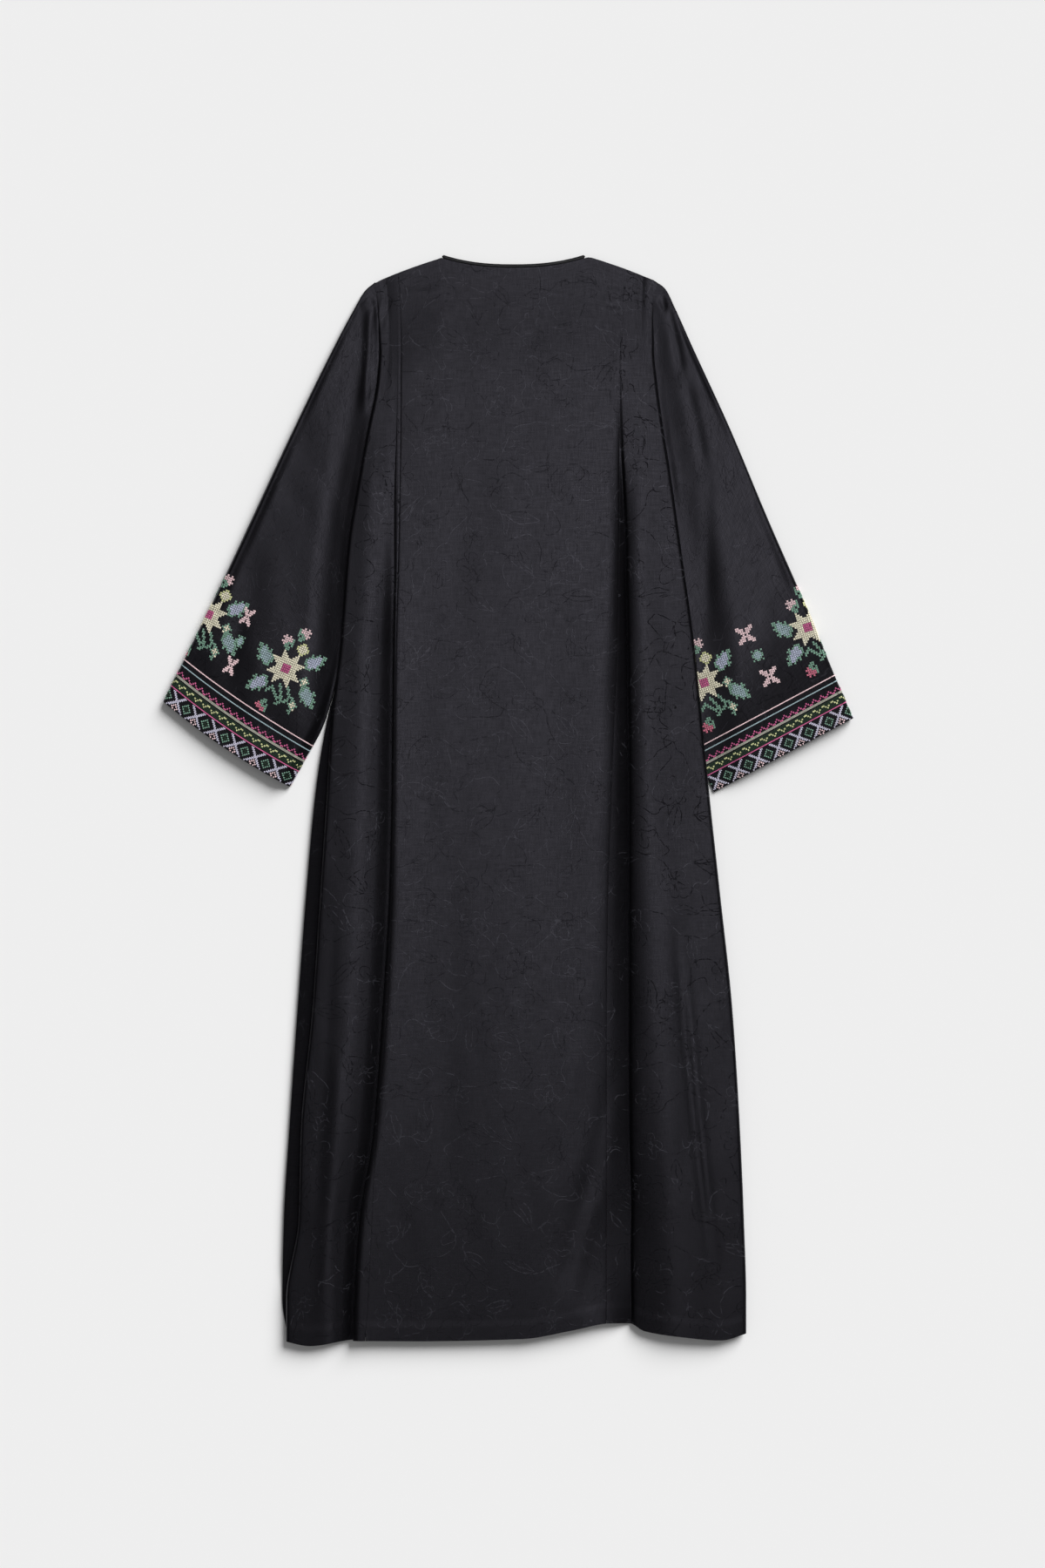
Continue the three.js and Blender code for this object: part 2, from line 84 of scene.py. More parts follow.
def unit(vectors: Array) -> Array:
    """Vectors brought to a length of 1."""
    return vectors / np.maximum(np.linalg.norm(vectors, axis=-1, keepdims=True), 1e-9)


def rest_slopes(chords: Array) -> Array:
    """Slopes at the knots of a curve that never overshoots them.

    A slope is the harmonic mean of the chords on both sides, and nothing at a peak or a dip.

    Args:
        chords: Slopes of the straight lines between the knots, on the last axis.

    Returns:
        One slope for each knot.
    """
    before = np.concatenate((chords[..., :1], chords), axis=-1)
    after = np.concatenate((chords, chords[..., -1:]), axis=-1)
    rising = before * after > 0
    return np.where(rising, 2.0 * before * after / np.where(rising, before + after, 1.0), 0.0)


def between(low: Array, high: Array, slope_low: Array, slope_high: Array,
            span: Array, share: Array) -> Array:
    """Cubic between two knots: their soft blend, plus each end's slope times its own bump."""
    bump = span * share * (1.0 - share)
    return mix(low, high, ease(share)) + bump * (slope_low * (1.0 - share) - slope_high * share)


def through_knots(knots: list[Array], place: Array) -> Array:
    """Reads a curve whose knots stand at 0, 1, 2 and so on.

    Args:
        knots: The curve's value at each knot, as arrays that broadcast with place.
        place: Where to read it.

    Returns:
        The values, in the shape of place.
    """
    values = np.stack([np.broadcast_to(knot, place.shape) for knot in knots], axis=-1)
    slopes = rest_slopes(np.diff(values, axis=-1))
    first = np.clip(np.floor(place).astype(int), 0, len(knots) - 2)
    share = np.clip(place - first, 0.0, 1.0)

    def at(array: Array, index: Array) -> Array:
        """Picks one knot's entry for each place."""
        return np.take_along_axis(array, index[..., None], axis=-1)[..., 0]

    return between(at(values, first), at(values, first + 1), at(slopes, first),
                   at(slopes, first + 1), 1.0, share)


@dataclass(frozen=True)
class Table:
    """Rows of sizes under named columns, where the first column is each row's place."""

    columns: tuple[str, ...]
    rows: tuple[tuple[float, ...], ...]

    def at(self, name: str, place: Array) -> Array:
        """Reads one column as a smooth curve through its rows, held at the first and last.

        Args:
            name: The column.
            place: Where to read it.

        Returns:
            The column's values there.
        """
        knots, value = (np.array([row[i] for row in self.rows])
                        for i in (0, self.columns.index(name)))
        slope = rest_slopes(np.diff(value) / np.diff(knots))
        held = np.clip(place, knots[0], knots[-1])
        first = np.clip(np.searchsorted(knots, held, side="right") - 1, 0, len(knots) - 2)
        span = knots[first + 1] - knots[first]
        return between(value[first], value[first + 1], slope[first], slope[first + 1], span,
                       (held - knots[first]) / span)


def stops(total: float, step: float, edge: tuple[float, ...]) -> Array:
    """Shares of a width at which columns stand: a step apart, but at its ends as edge says.

    Args:
        total: The width.
        step: Distance between columns in the middle.
        edge: Distances of the first columns from each end.

    Returns:
        Rising shares from 0 to 1.
    """
    near = np.array(edge)
    inner = np.linspace(near[-1], total - near[-1], round((total - 2 * near[-1]) / step) + 1)
    return np.concatenate((near[:-1], inner, (total - near[:-1])[::-1])) / total


def spread(start: int, steps: tuple[int, ...]) -> Array:
    """Column values from start on, where every next unit is cut in its own number of steps."""
    parts = [start + number + np.arange(count) / count for number, count in enumerate(steps)]
    return np.append(np.concatenate(parts), start + len(steps))


# ------------------------------------------------------------------ creases

class CreaseForm(Enum):
    """How the cloth runs across a crease."""

    HOLLOW = "hollow"
    RIDGE = "ridge"
    STEP = "step"


HOLLOW, RIDGE, STEP = CreaseForm


@dataclass(frozen=True)
class Crease:
    """One soft crease, given in millimetres.

    The crease runs from start to end, bowed to its left by bow in the middle, and dies out
    at both ends. A step stands higher on the crease's left.
    """

    start: Pair
    end: Pair
    width: float
    depth: float
    form: CreaseForm = HOLLOW
    bow: float = 0.0
    fade: float = 0.3
    step_height: ClassVar[float] = 1.6

    def lift(self, x: Array, y: Array) -> Array:
        """Height that the crease adds to the cloth.

        Across it the profile is a bell of the distance over the width, or for a step the
        distance times that bell; along it the ends are eased in over the fade.

        Args:
            x: Places across, in millimetres.
            y: Places along, in millimetres.

        Returns:
            Heights to add, in millimetres.
        """
        run = np.array(self.end) - np.array(self.start)
        length = np.hypot(*run)
        ahead, x, y = run / length, x - self.start[0], y - self.start[1]
        along = (x * ahead[0] + y * ahead[1]) / length
        held = np.clip(along, 0, 1)
        aside = y * ahead[0] - x * ahead[1] - self.bow * 4.0 * held * (1.0 - held)
        taper = ease(along / self.fade) * ease((1.0 - along) / self.fade)
        bell = np.exp(-(aside / self.width) ** 2) * taper * self.depth
        if self.form is STEP:
            return bell * self.step_height * aside / self.width
        return bell if self.form is RIDGE else -bell


def lifted(creases: tuple[Crease, ...], x: Array, y: Array) -> Array:
    """Sum of the heights of several creases."""
    total = np.zeros_like(x)
    for crease in creases:
        total = total + crease.lift(x, y)
    return total


def slack(x: Array, y: Array, height: float, seed: int) -> Array:
    """Slow unevenness of cloth that lies loose: a sum of long sine waves in set directions.

    Args:
        x: Places across.
        y: Places along.
        height: Greatest height of one wave.
        seed: Chooses the directions and phases.

    Returns:
        Heights, rising and falling about 0.
    """
    rng = np.random.default_rng(seed)
    total = np.zeros_like(x)
    for length in (310.0, 205.0, 130.0, 88.0, 61.0, 43.0):
        turn, phase = rng.uniform(-0.9, 0.9), rng.uniform(0.0, 2.0 * math.pi)
        wave = np.sin((x * math.cos(turn) + y * math.sin(turn) * 0.6) * 2 * math.pi / length
                      + phase + 1.3 * np.sin(y / (length * 0.9) + phase))
        total = total + wave * height * (length / 310.0) ** 0.8
    return total


# ------------------------------------------------------------------ meshes

def shell(name: str, grid: Array, offset: Pair, joined: bool = False) -> Piece:
    """Thickens a grid of points into a closed wall of cloth.

    Each point moves half the cloth's thickness to both sides along the grid's normal, which
    is the cross product of its steps across and along. Strips of faces close the free edges.

    Args:
        name: Name of the piece.
        grid: Middle points in millimetres, as rows by columns by 3.
        offset: Where the panel was cut from the cloth, in metres.
        joined: Whether each row is a ring.

    Returns:
        The piece, linked to the scene.
    """
    rows, columns = grid.shape[:2]
    across = (np.roll(grid, -1, axis=1) - np.roll(grid, 1, axis=1) if joined
              else np.gradient(grid, axis=1))
    normal = unit(np.cross(across, np.gradient(grid, axis=0)))
    points = np.stack([grid + normal * side * LIE.cloth / 2 for side in (1, -1)])
    cloth_uv = flat_places(grid, offset, joined)
    strips = columns if joined else columns - 1
    faces = []

    def quads(row: Array, column: Array, *corners: tuple[int, int, int]) -> None:
        """Adds a face at each row and column, by its corners' side, row and column steps.

        With each corner's point goes its number in the cloth's own grid.
        """
        faces.append(np.stack([np.stack(
            ((side * rows + row + down) * columns + (column + right) % columns,
             (row + down) * cloth_uv.shape[1] + column + right), axis=-1)
            for side, down, right in corners], axis=1))

    i, j = (index.ravel() for index in np.indices((rows - 1, strips)))
    quads(i, j, (0, 0, 0), (0, 0, 1), (0, 1, 1), (0, 1, 0))
    quads(i, j, (1, 0, 0), (1, 1, 0), (1, 1, 1), (1, 0, 1))
    edge = np.arange(strips)
    quads(edge * 0, edge, (0, 0, 0), (1, 0, 0), (1, 0, 1), (0, 0, 1))
    quads(edge * 0 + rows - 1, edge, (0, 0, 0), (0, 0, 1), (1, 0, 1), (1, 0, 0))
    if not joined:
        edge = np.arange(rows - 1)
        quads(edge, edge * 0, (0, 0, 0), (0, 1, 0), (1, 1, 0), (1, 0, 0))
        quads(edge, edge * 0 + columns - 1, (0, 0, 0), (1, 0, 0), (1, 1, 0), (0, 1, 0))
    corners = np.concatenate(faces)
    uv = cloth_uv.reshape(-1, 2)[corners[..., 1].ravel()]
    return mesh_piece(name, points.reshape(-1, 3) * MM, corners[..., 0], uv)


def mesh_piece(name: str, points: Array, faces: Array, corner_uv: Array | None = None) -> Piece:
    """Puts whole arrays of points and equal-sided faces into a new mesh object.

    Args:
        name: Name of the piece.
        points: In metres, as count by 3.
        faces: Point numbers, as count by corners of a face.
        corner_uv: Flat place of every face corner in metres, in the order of the faces.

    Returns:
        The piece, linked to the scene, with smooth faces and sharp edges at the rims.
    """
    mesh = bpy.data.meshes.new(name)
    count, sides = faces.shape
    mesh.vertices.add(len(points))
    mesh.vertices.foreach_set("co", points.astype(np.float32).ravel())
    mesh.loops.add(faces.size)
    mesh.loops.foreach_set("vertex_index", faces.astype(np.int32).ravel())
    mesh.polygons.add(count)
    mesh.polygons.foreach_set("loop_start", np.arange(0, faces.size, sides, dtype=np.int32))
    if corner_uv is not None:
        layer = mesh.uv_layers.new(name="Cloth")
        layer.data.foreach_set("uv", corner_uv.astype(np.float32).ravel())
    mesh.update(calc_edges=True)
    mesh.validate()
    mesh.shade_smooth()
    mesh.set_sharp_from_angle(angle=SHARP)
    return linked(name, mesh)


def linked(name: str, data: bpy.types.ID) -> Piece:
    """Makes an object of some data and links it to the scene."""
    thing = bpy.data.objects.new(name, data)
    bpy.context.scene.collection.objects.link(thing)
    return thing


def arc_lengths(grid: Array, axis: int) -> Array:
    """Distance walked over a grid of points along one axis, from 0 at its first entry."""
    steps = np.linalg.norm(np.diff(grid, axis=axis), axis=2)
    return np.concatenate((np.zeros_like(np.take(steps, [0], axis=axis)),
                           np.cumsum(steps, axis=axis)), axis=axis)


def flat_places(grid: Array, offset: Pair, joined: bool) -> Array:
    """Places of a grid's points on the cloth before it was sewn.

    The first coordinate is the distance walked across the middle row, the second the
    distance walked along the middle column, so the weave stays straight in a panel.

    Args:
        grid: Middle points in millimetres.
        offset: Where the panel was cut from the cloth, in metres.
        joined: Whether each row is a ring, which adds a column for its join.

    Returns:
        Places in metres, as rows by columns by 2.
    """
    ring = np.concatenate((grid, grid[:, :1]), axis=1) if joined else grid
    row, column = ring.shape[0] // 2, ring.shape[1] // 2
    share = arc_lengths(ring, 1)
    across = share - share[:, column:column + 1] + share[row, column]
    along = arc_lengths(ring[:, column:column + 1], 0)
    return np.stack(np.broadcast_arrays(across * MM + offset[0], along * MM + offset[1]), axis=-1)


# ------------------------------------------------------------------ how the garment lies

BODY = Table(
    ("y", "left_fold", "left_side", "left_under", "left_valley", "left_crest", "left_seam",
     "right_seam", "right_valley", "right_crest", "right_under", "right_side", "right_fold"),
    ((-720, -301, -272, -298, -219, -211, -197, 121, 151, 161, 300, 276, 305),
     (-660, -301, -272, -307, -217, -209, -193, 121, 153, 163, 300, 276, 305),
     (-555, -285, -258, -305, -207, -202, -188, 121, 153, 164, 297, 273, 302),
     (-440, -282, -254, -298, -196, -184, -182, 121, 149, 161, 292, 268, 297),
     (-280, -267, -240, -287, -185, -172, -168, 121, 148, 159, 282, 258, 287),
     (-120, -256, -230, -275, -176, -163, -161, 123, 148, 159, 265, 241, 270),
     (0, -248, -222, -264, -171, -160, -158, 127, 148, 158, 251, 228, 257),
     (100, -242, -219, -248.5, -167, -159, -157, 131, 148, 158, 228, 217, 247),
     (200, -230, -211, -221, -163, -158, -156, 135, 148, 157, 209, 200, 237),
     (330, -220, -189, -194, -157, -155, -153, 137, 147, 155, 189, 181, 219),
     (430, -204, -172, -167.4, -154, -153, -151, 138, 144, 152, 167.8, 172, 205),
     (480, -195, -174, -169.8, -152, -152, -150.5, 138, 142, 151, 170.4, 175, 197),
     (549, -181.5, -177, -172.8, -151, -151.5, -150, 139, 141, 151, 176.6, 181, 187.5),
     (595, -178, -178, -173.8, -151, -151.5, -150, 140, 143, 152, 178.6, 183, 183),
     (640, -179.5, -179.5, -175.4, -152, -152.5, -151, 142, 146, 154, 177.6, 182, 182),
     (700, -187, -187, -182.8, -154, -155.5, -154, 146, 150, 158, 179.6, 184, 184)))

HEIGHTS = Table(
    ("y", "edge", "plateau", "left_floor", "right_floor", "crest"),
    ((-720, 12, 14.5, 3.6, 3.4, 17.0),
     (-440, 12.2, 15.0, 3.4, 3.2, 17.6),
     (-120, 12.2, 14.6, 3.6, 3.2, 17.2),
     (200, 12, 14.0, 4.6, 3.8, 16.4),
     (346, 12, 13.6, 10.6, 6.2, 14.8),
     (480, 12.2, 12.8, 12.6, 11.2, 13.0),
     (549, 11.7, 12.0, 11.95, 11.8, 12.05),
     (640, 9.8, 10.0, 10.0, 9.9, 10.1),
     (720, 7.4, 7.8, 7.8, 7.8, 7.8)))

FALLS = Table(
    ("y", "left_fall", "right_fall", "left_rise", "right_rise", "left_lip", "right_lip",
     "right_drift"),
    ((-720, 36, 40, 6, 60, 0.72, 0.34, 2.0),
     (-600, 40, 128, 6, 58, 0.76, 0.34, 0.0),
     (-450, 46, 84, 8, 44, 0.76, 0.50, 2.0),
     (-300, 48, 70, 10, 36, 0.74, 0.57, 2.0),
     (-150, 48, 58, 9, 32, 0.76, 0.62, 1.5),
     (0, 46, 50, 6, 27, 0.80, 0.68, 1.5),
     (150, 42, 42, 5, 25, 0.80, 0.69, 0.5),
     (300, 34, 28, 5, 20, 0.80, 0.68, -1.5),
     (450, 26, 22, 4, 20, 0.80, 0.55, -1.0),
     (560, 14, 16, 4, 14, 0.80, 0.60, 0.0)))

HEM = Table(
    ("x", "y"),
    ((-305, -714), (-270, -720.5), (-215, -713.5), (-128, -714), (10, -711), (75, -700),
     (125, -691), (153, -692), (170, -701), (217, -708), (272, -713), (306, -704)))


@dataclass(frozen=True)
class Lie:
    """Outline and layers of the garment as it lies, in millimetres."""

    wall: float = 1.2
    fold_radius: float = 0.9
    cloth: float = 0.7
    table_layer: float = 0.6
    tuck_layer: float = 2.4
    return_layer: float = 3.9
    shoulder_layer: float = 2.1
    neck_layer: float = 3.6
    hem_y: float = -712.0
    top_y: float = 700.0
    hem_blend: float = 120.0
    top_blend: float = 150.0
    front_blend: float = 420.0
    shoulder_roll: float = 150.0
    neck_centre: float = -1.5
    neck_half: float = 97.0
    neck_base: float = 700.8
    neck_scoop: float = 13.5
    neck_power: float = 2.4
    neck_reach: float = 54.0
    neck_ease: float = 32.0
    sleeve_near: float = 6.0
    sleeve_ease: float = 14.0
    front_neck_depth: float = 165.0
    front_neck_power: float = 1.7
    shoulder_centre: float = 3.0
    shoulder_fall: float = 0.30
    shoulder_curve: float = 0.0007
    armhole_low: float = 556.0
    armhole_high: float = 604.0
    armhole_turn: float = 0.3 * math.pi
    underarm: float = 430.0

    def edge(self, x: Array, depth: float, power: float) -> Array:
        """An upper edge: the shoulders, with a neck of a depth cut by a power curve.

        The shoulder line falls from the neck's corner with the distance and its square.

        Args:
            x: Places across, in millimetres.
            depth: How far the neck is cut below its corners.
            power: Of the neck's curve.

        Returns:
            Level of the edge at each place.
        """
        corner = self.neck_base + self.neck_scoop
        outwards = np.maximum(0.0, np.abs(x - self.shoulder_centre) - self.neck_half)
        shoulder = corner - self.shoulder_fall * outwards - self.shoulder_curve * outwards ** 2
        share = np.abs(x - self.neck_centre) / self.neck_half
        neck = corner - depth * (1.0 - np.minimum(share, 1.0) ** power)
        return np.where(share < 1.0, neck, shoulder)

    def top(self, x: Array) -> Array:
        """Upper edge of the back."""
        return self.edge(x, self.neck_scoop, self.neck_power)

    def front_top(self, x: Array) -> Array:
        """Upper edge of the front, whose neck is cut lower with the same corners."""
        return self.edge(x, self.front_neck_depth + self.neck_scoop, self.front_neck_power)

    def bent(self, y: Array, hem: Array, top: Array, blend: float) -> Array:
        """Level section bent to the hem and the top, each offset eased out over its blend.

        Args:
            y: Levels of the straight section.
            hem: Level of the hem there.
            top: Level of the upper edge there.
            blend: Distance over which the upper bend is eased out.

        Returns:
            Levels on the bent section.
        """
        low = 1.0 - ease((y - self.hem_y) / self.hem_blend)
        high = ease((y - self.top_y + blend) / blend)
        return y + (hem - self.hem_y) * low + (top - self.top_y) * high

    def hem(self, x: Array) -> Array:
        """Level of the hem, with its dips and lifts."""
        return HEM.at("y", x)

    def rolled(self, y: Array) -> Array:
        """How full the side fold is: 1 for a whole roll, 0 at the open armhole seam."""
        return 1.0 - ease((y - self.armhole_low) / (self.armhole_high - self.armhole_low))

    def roll_radius(self, y: Array) -> Array:
        """Radius of the side fold's roll, half the height from its underside to its top."""
        return (HEIGHTS.at("edge", y) - self.return_layer) / 2.0

    def roll_turn(self, y: Array) -> Array:
        """Angle that the side fold turns through."""
        return mix(self.armhole_turn, math.pi, self.rolled(y))

    def roll_reach(self, y: Array) -> Array:
        """How far the roll stands out beyond its axis."""
        return self.roll_radius(y) * np.sin(np.minimum(self.roll_turn(y), math.pi / 2))

    def foot(self, x: Array, y: Array) -> Array:
        """Height of the back's middle surface along its upper edge.

        Args:
            x: Places across, in millimetres.
            y: Places along, in millimetres.

        Returns:
            Heights in millimetres.
        """
        past_neck = np.abs(x - self.neck_centre) - self.neck_half - self.neck_reach
        past_neck = ease(past_neck / self.neck_ease)
        to_armhole = np.minimum(x - BODY.at("left_fold", y), BODY.at("right_fold", y) - x)
        past_sleeve = ease((to_armhole - self.sleeve_near) / self.sleeve_ease)
        return np.maximum(mix(self.neck_layer, self.shoulder_layer, past_neck),
                          mix(self.return_layer, self.shoulder_layer, past_sleeve))


LIE = Lie()


@dataclass(frozen=True)
class BackSection:
    """Section across the back between the tops of its side folds, as sixteen knots.

    Going right from knot 0 the cloth rises to a plateau (1), falls into the left valley (3),
    turns under the crest (4), comes round its lip (5) to its top (6), crosses the middle
    (7), falls again (8, 9) into the right valley (10), and does the same at the right crest
    (11 to 13) and side (15).
    """

    tuck: float = 6.5
    lip_back: float = 2.0
    shallow: float = 0.6
    deepening: float = 9.0
    past_lip: float = 60.0
    fall_share: Pair = (0.57, 0.64)
    fall_depth: float = 0.38

    def knots(self, y: Array) -> tuple[list[Array], list[Array]]:
        """Places and heights of the knots at level y.

        Args:
            y: Places along, in millimetres.

        Returns:
            The knots' places across and their heights.
        """
        edge, plateau = HEIGHTS.at("edge", y), HEIGHTS.at("plateau", y)
        crest = HEIGHTS.at("crest", y)
        left = BODY.at("left_fold", y) + LIE.roll_reach(y)
        right = BODY.at("right_fold", y) - LIE.roll_reach(y)
        xs, zs = [left], [edge]
        for side, share in zip(SIDES.values(), self.fall_share):
            valley = BODY.at(f"{side}_valley", y)
            lip = BODY.at(f"{side}_crest", y)
            floor = HEIGHTS.at(f"{side}_floor", y)
            fall, rise = FALLS.at(f"{side}_fall", y), FALLS.at(f"{side}_rise", y)
            deep = ease((crest - floor - self.shallow) / self.deepening)
            height = mix(floor, crest, FALLS.at(f"{side}_lip", y))
            if side == "left":
                bottom = mix(valley - 4.0, lip - 2.5, deep)
                start = np.maximum(bottom - fall, mix(left, bottom, 0.2))
                tip = mix(bottom + 1.2, lip - self.lip_back, deep)
                under = mix(mix(bottom, tip, 0.5), lip + self.tuck, deep)
                under_height = mix(mix(floor, crest, 0.3), floor + 2.0, deep)
            else:
                bottom = valley + mix(-4.0, FALLS.at("right_drift", y), deep)
                start = bottom - fall
                tip = bottom + mix(5.0, 3.2, deep)
                under = bottom + mix(2.5, 1.0, deep)
                under_height = mix(floor, height, 0.34)
            xs += [start, mix(start, bottom, share), bottom, under, tip,
                   np.maximum(mix(lip, bottom, deep * (side == "right")) + rise, tip + 3.0)]
            zs += [plateau - 0.3, mix(plateau, floor, self.fall_depth), floor, under_height,
                   mix(mix(floor, crest, 0.7), height, deep), crest]
            if side == "left":
                xs.append(lip + self.past_lip)
                zs.append(plateau)
        xs += [mix(xs[-1], right, 0.5), right]
        zs += [plateau, edge]
        return xs, zs

    def point(self, place: Array, y: Array) -> tuple[Array, Array]:
        """X and height of the middle surface at a place along the knots."""
        xs, zs = self.knots(y)
        return through_knots(xs, place), through_knots(zs, place)

    def place_of(self, x: Array, y: Array, low: float, high: float) -> Array:
        """Place along the knots where the section passes x, by halving, where x only rises.

        Args:
            x: Places across, in millimetres.
            y: Places along, in millimetres.
            low: Knot to look from.
            high: Knot to look to.

        Returns:
            Places along the knots.
        """
        xs, _ = self.knots(y)
        shape = np.broadcast_shapes(x.shape, y.shape)
        start, end = np.full(shape, low), np.full(shape, high)
        for _ in range(22):
            middle = (start + end) / 2.0
            passed = through_knots(xs, middle) > x
            start, end = np.where(passed, start, middle), np.where(passed, middle, end)
        return (start + end) / 2.0


SECTION = BackSection()
LEFT_LIP, MIDDLE_LEFT, RIGHT_FLOOR, RIGHT_END = 5, 7, 10, 15

BACK_CREASES = (
    # short pull wrinkles under the shoulders, where the side seams meet them
    Crease((-158, 676), (-104, 675), 3.4, 1.3, HOLLOW, 1.5),
    Crease((-150, 669), (-100, 667), 3.6, 0.8, RIDGE, 1.0),
    Crease((-148, 699), (-108, 703), 3.0, 0.8, RIDGE, 1.0),
    Crease((-82, 673), (-58, 671), 3.0, 0.5, HOLLOW),
    Crease((112, 696), (136, 683), 3.0, 0.9, HOLLOW, -2.0),
    Crease((114, 678), (147, 674), 2.8, 1.0, HOLLOW, 1.0),
    Crease((126, 664), (145, 662), 2.6, 0.8, HOLLOW),
    Crease((113, 652), (144, 649), 2.6, 0.8, HOLLOW, 0.8),
    Crease((118, 670), (142, 668), 2.6, 0.6, RIDGE),
    Crease((114, 658), (140, 656), 2.6, 0.5, RIDGE),
    # along the armholes
    Crease((-163, 668), (-175, 616), 4.0, 0.7, HOLLOW, -2.0),
    Crease((-172, 668), (-184, 620), 3.0, 0.7, RIDGE, -1.0),
    # long, slow falls of the skirt
    Crease((214, -140), (268, -660), 6.5, 1.35, STEP, -3.0, 0.35),
    Crease((196, -60), (212, -560), 16.0, 0.8, RIDGE, -3.0),
    Crease((132, -330), (78, -560), 12.0, 0.7, HOLLOW, 6.0),
    Crease((120, -470), (60, -690), 13.0, 0.8, STEP, -5.0),
    Crease((88, -300), (40, -480), 14.0, 0.5, RIDGE, 4.0),
    Crease((-120, 470), (-100, -80), 30.0, 0.6, RIDGE, 6.0),
    Crease((-60, 120), (-96, -560), 26.0, 0.6, HOLLOW, -8.0),
    Crease((40, 380), (56, -260), 32.0, 0.6, HOLLOW, 6.0),
    Crease((-228, -300), (-256, -700), 9.0, 0.8, RIDGE, 2.0, 0.2),
    Crease((-236, -120), (-266, -600), 7.0, 0.35, HOLLOW, 2.0, 0.2),
)


def back_height(x: Array, y: Array, level: Array) -> Array:
    """Height of the back once it comes down to the shoulder, with its creases.

    The section's level is blended to the foot of the upper edge over the shoulder's roll;
    creases and slack fade out towards that edge.

    Args:
        x: Places across, in millimetres.
        y: Places along, in millimetres.
        level: Height of the plain section there.

    Returns:
        Height of the middle surface.
    """
    away = (LIE.top(x) - y) / LIE.shoulder_roll
    uneven = lifted(BACK_CREASES, x, y) + slack(x, y, 0.28, 5)
    return mix(LIE.foot(x, y), level, ease(away)) + uneven * ease(away * 1.6)


# ------------------------------------------------------------------ finishes

class Tree:
    """A material's node tree, built a node at a time."""

    def __init__(self, name: str) -> None:
        """Starts an empty material with its Principled shader and output."""
        self.material = bpy.data.materials.new(name)
        self.material.use_nodes = True
        self.nodes = self.material.node_tree.nodes
        self.nodes.clear()
        self.shader = self.nodes.new("ShaderNodeBsdfPrincipled")
        output = self.nodes.new("ShaderNodeOutputMaterial")
        self.feed(output.inputs["Surface"], self.shader.outputs["BSDF"])

    def feed(self, socket: Socket, value: object) -> None:
        """Gives an input a value, or links it if the value is an output.

        Args:
            socket: The input.
            value: A value, a wire, an output, or None to leave it alone.
        """
        value = value.socket if isinstance(value, Wire) else value
        if isinstance(value, Socket):
            self.material.node_tree.links.new(value, socket)
        elif value is not None:
            socket.default_value = value

    def set(self, **values: object) -> None:
        """Sets the shader's inputs, with underscores for the spaces in their names."""
        for name, value in values.items():
            self.feed(self.shader.inputs[name.replace("_", " ")], value)

    def node(self, kind: str, *values: object, out: int | str = 0, **named: object) -> "Wire":
        """Adds a node.

        Args:
            kind: Its type.
            *values: Values or wires for its first inputs.
            out: The output to take.
            **named: Inputs by name, if they start with a capital, or the node's settings.

        Returns:
            The chosen output.
        """
        node = self.nodes.new(f"ShaderNode{kind}")
        for name, value in named.items():
            if name[0].isupper():
                self.feed(node.inputs[name.replace("_", " ")], value)
            else:
                setattr(node, name, value)
        for socket, value in zip(node.inputs, values):
            self.feed(socket, value)
        return Wire(self, node.outputs[out])


@dataclass(frozen=True)
class Wire:
    """An output in a node tree, on which arithmetic adds further nodes."""

    tree: Tree
    socket: Socket

    def of(self, out: int | str) -> "Wire":
        """Another output of the same node."""
        return Wire(self.tree, self.socket.node.outputs[out])

    def math(self, operation: str, *values: object) -> "Wire":
        """Adds a Math node on this and further values."""
        return self.tree.node("Math", self, *values, operation=operation)

    def __add__(self, other: object) -> "Wire":
        """Sum."""
        return self.math("ADD", other)

    def __sub__(self, other: object) -> "Wire":
        """Difference."""
        return self.math("SUBTRACT", other)

    def __mul__(self, other: object) -> "Wire":
        """Product."""
        return self.math("MULTIPLY", other)

    def __or__(self, other: object) -> "Wire":
        """The greater of two."""
        return self.math("MAXIMUM", other)

    def __abs__(self) -> "Wire":
        """Size without the sign."""
        return self.math("ABSOLUTE")

    def vector(self, operation: str, *values: object, out: str = "Vector",
               **named: object) -> "Wire":
        """Adds a Vector Math node on this and further values."""
        return self.tree.node("VectorMath", self, *values, operation=operation, out=out, **named)

    def noise(self, scale: float, detail: float = 2.0, rough: float = 0.5,
              out: str = "Fac") -> "Wire":
        """Adds a noise over this place, at a scale in turns to its unit."""
        return self.tree.node("TexNoise", out=out, Vector=self, Scale=scale, Detail=detail,
                              Roughness=rough)

    def weave(self, scale: float, wander: float) -> "Wire":
        """Adds fine diagonal bands over this place."""
        return self.tree.node("TexWave", bands_direction="DIAGONAL", out="Fac", Vector=self,
                              Scale=scale, Distortion=wander)

    def remap(self, low: float, high: float, start: float = 0.0, end: float = 1.0,
              kind: str = "SMOOTHSTEP") -> "Wire":
        """Adds a Map Range from low and high to start and end."""
        return self.tree.node("MapRange", self, low, high, start, end, interpolation_type=kind)

    def varied(self, start: float, end: float) -> "Wire":
        """A noise's usual range, spread from start to end."""
        return self.remap(0.3, 0.7, start, end, "LINEAR")

    def blend(self, first: object, second: object) -> "Wire":
        """Adds a mix of two colours by this share."""
        return self.tree.node("Mix", self, None, None, None, None, None, first, second,
                              data_type="RGBA", out=2)

    def bump(self, strength: float, distance: float, under: "Wire | None" = None) -> "Wire":
        """Adds a bump of this height in a distance, over an earlier bump if any."""
        return self.tree.node("Bump", out="Normal", Strength=strength, Distance=distance,
                              Height=self, Normal=under)


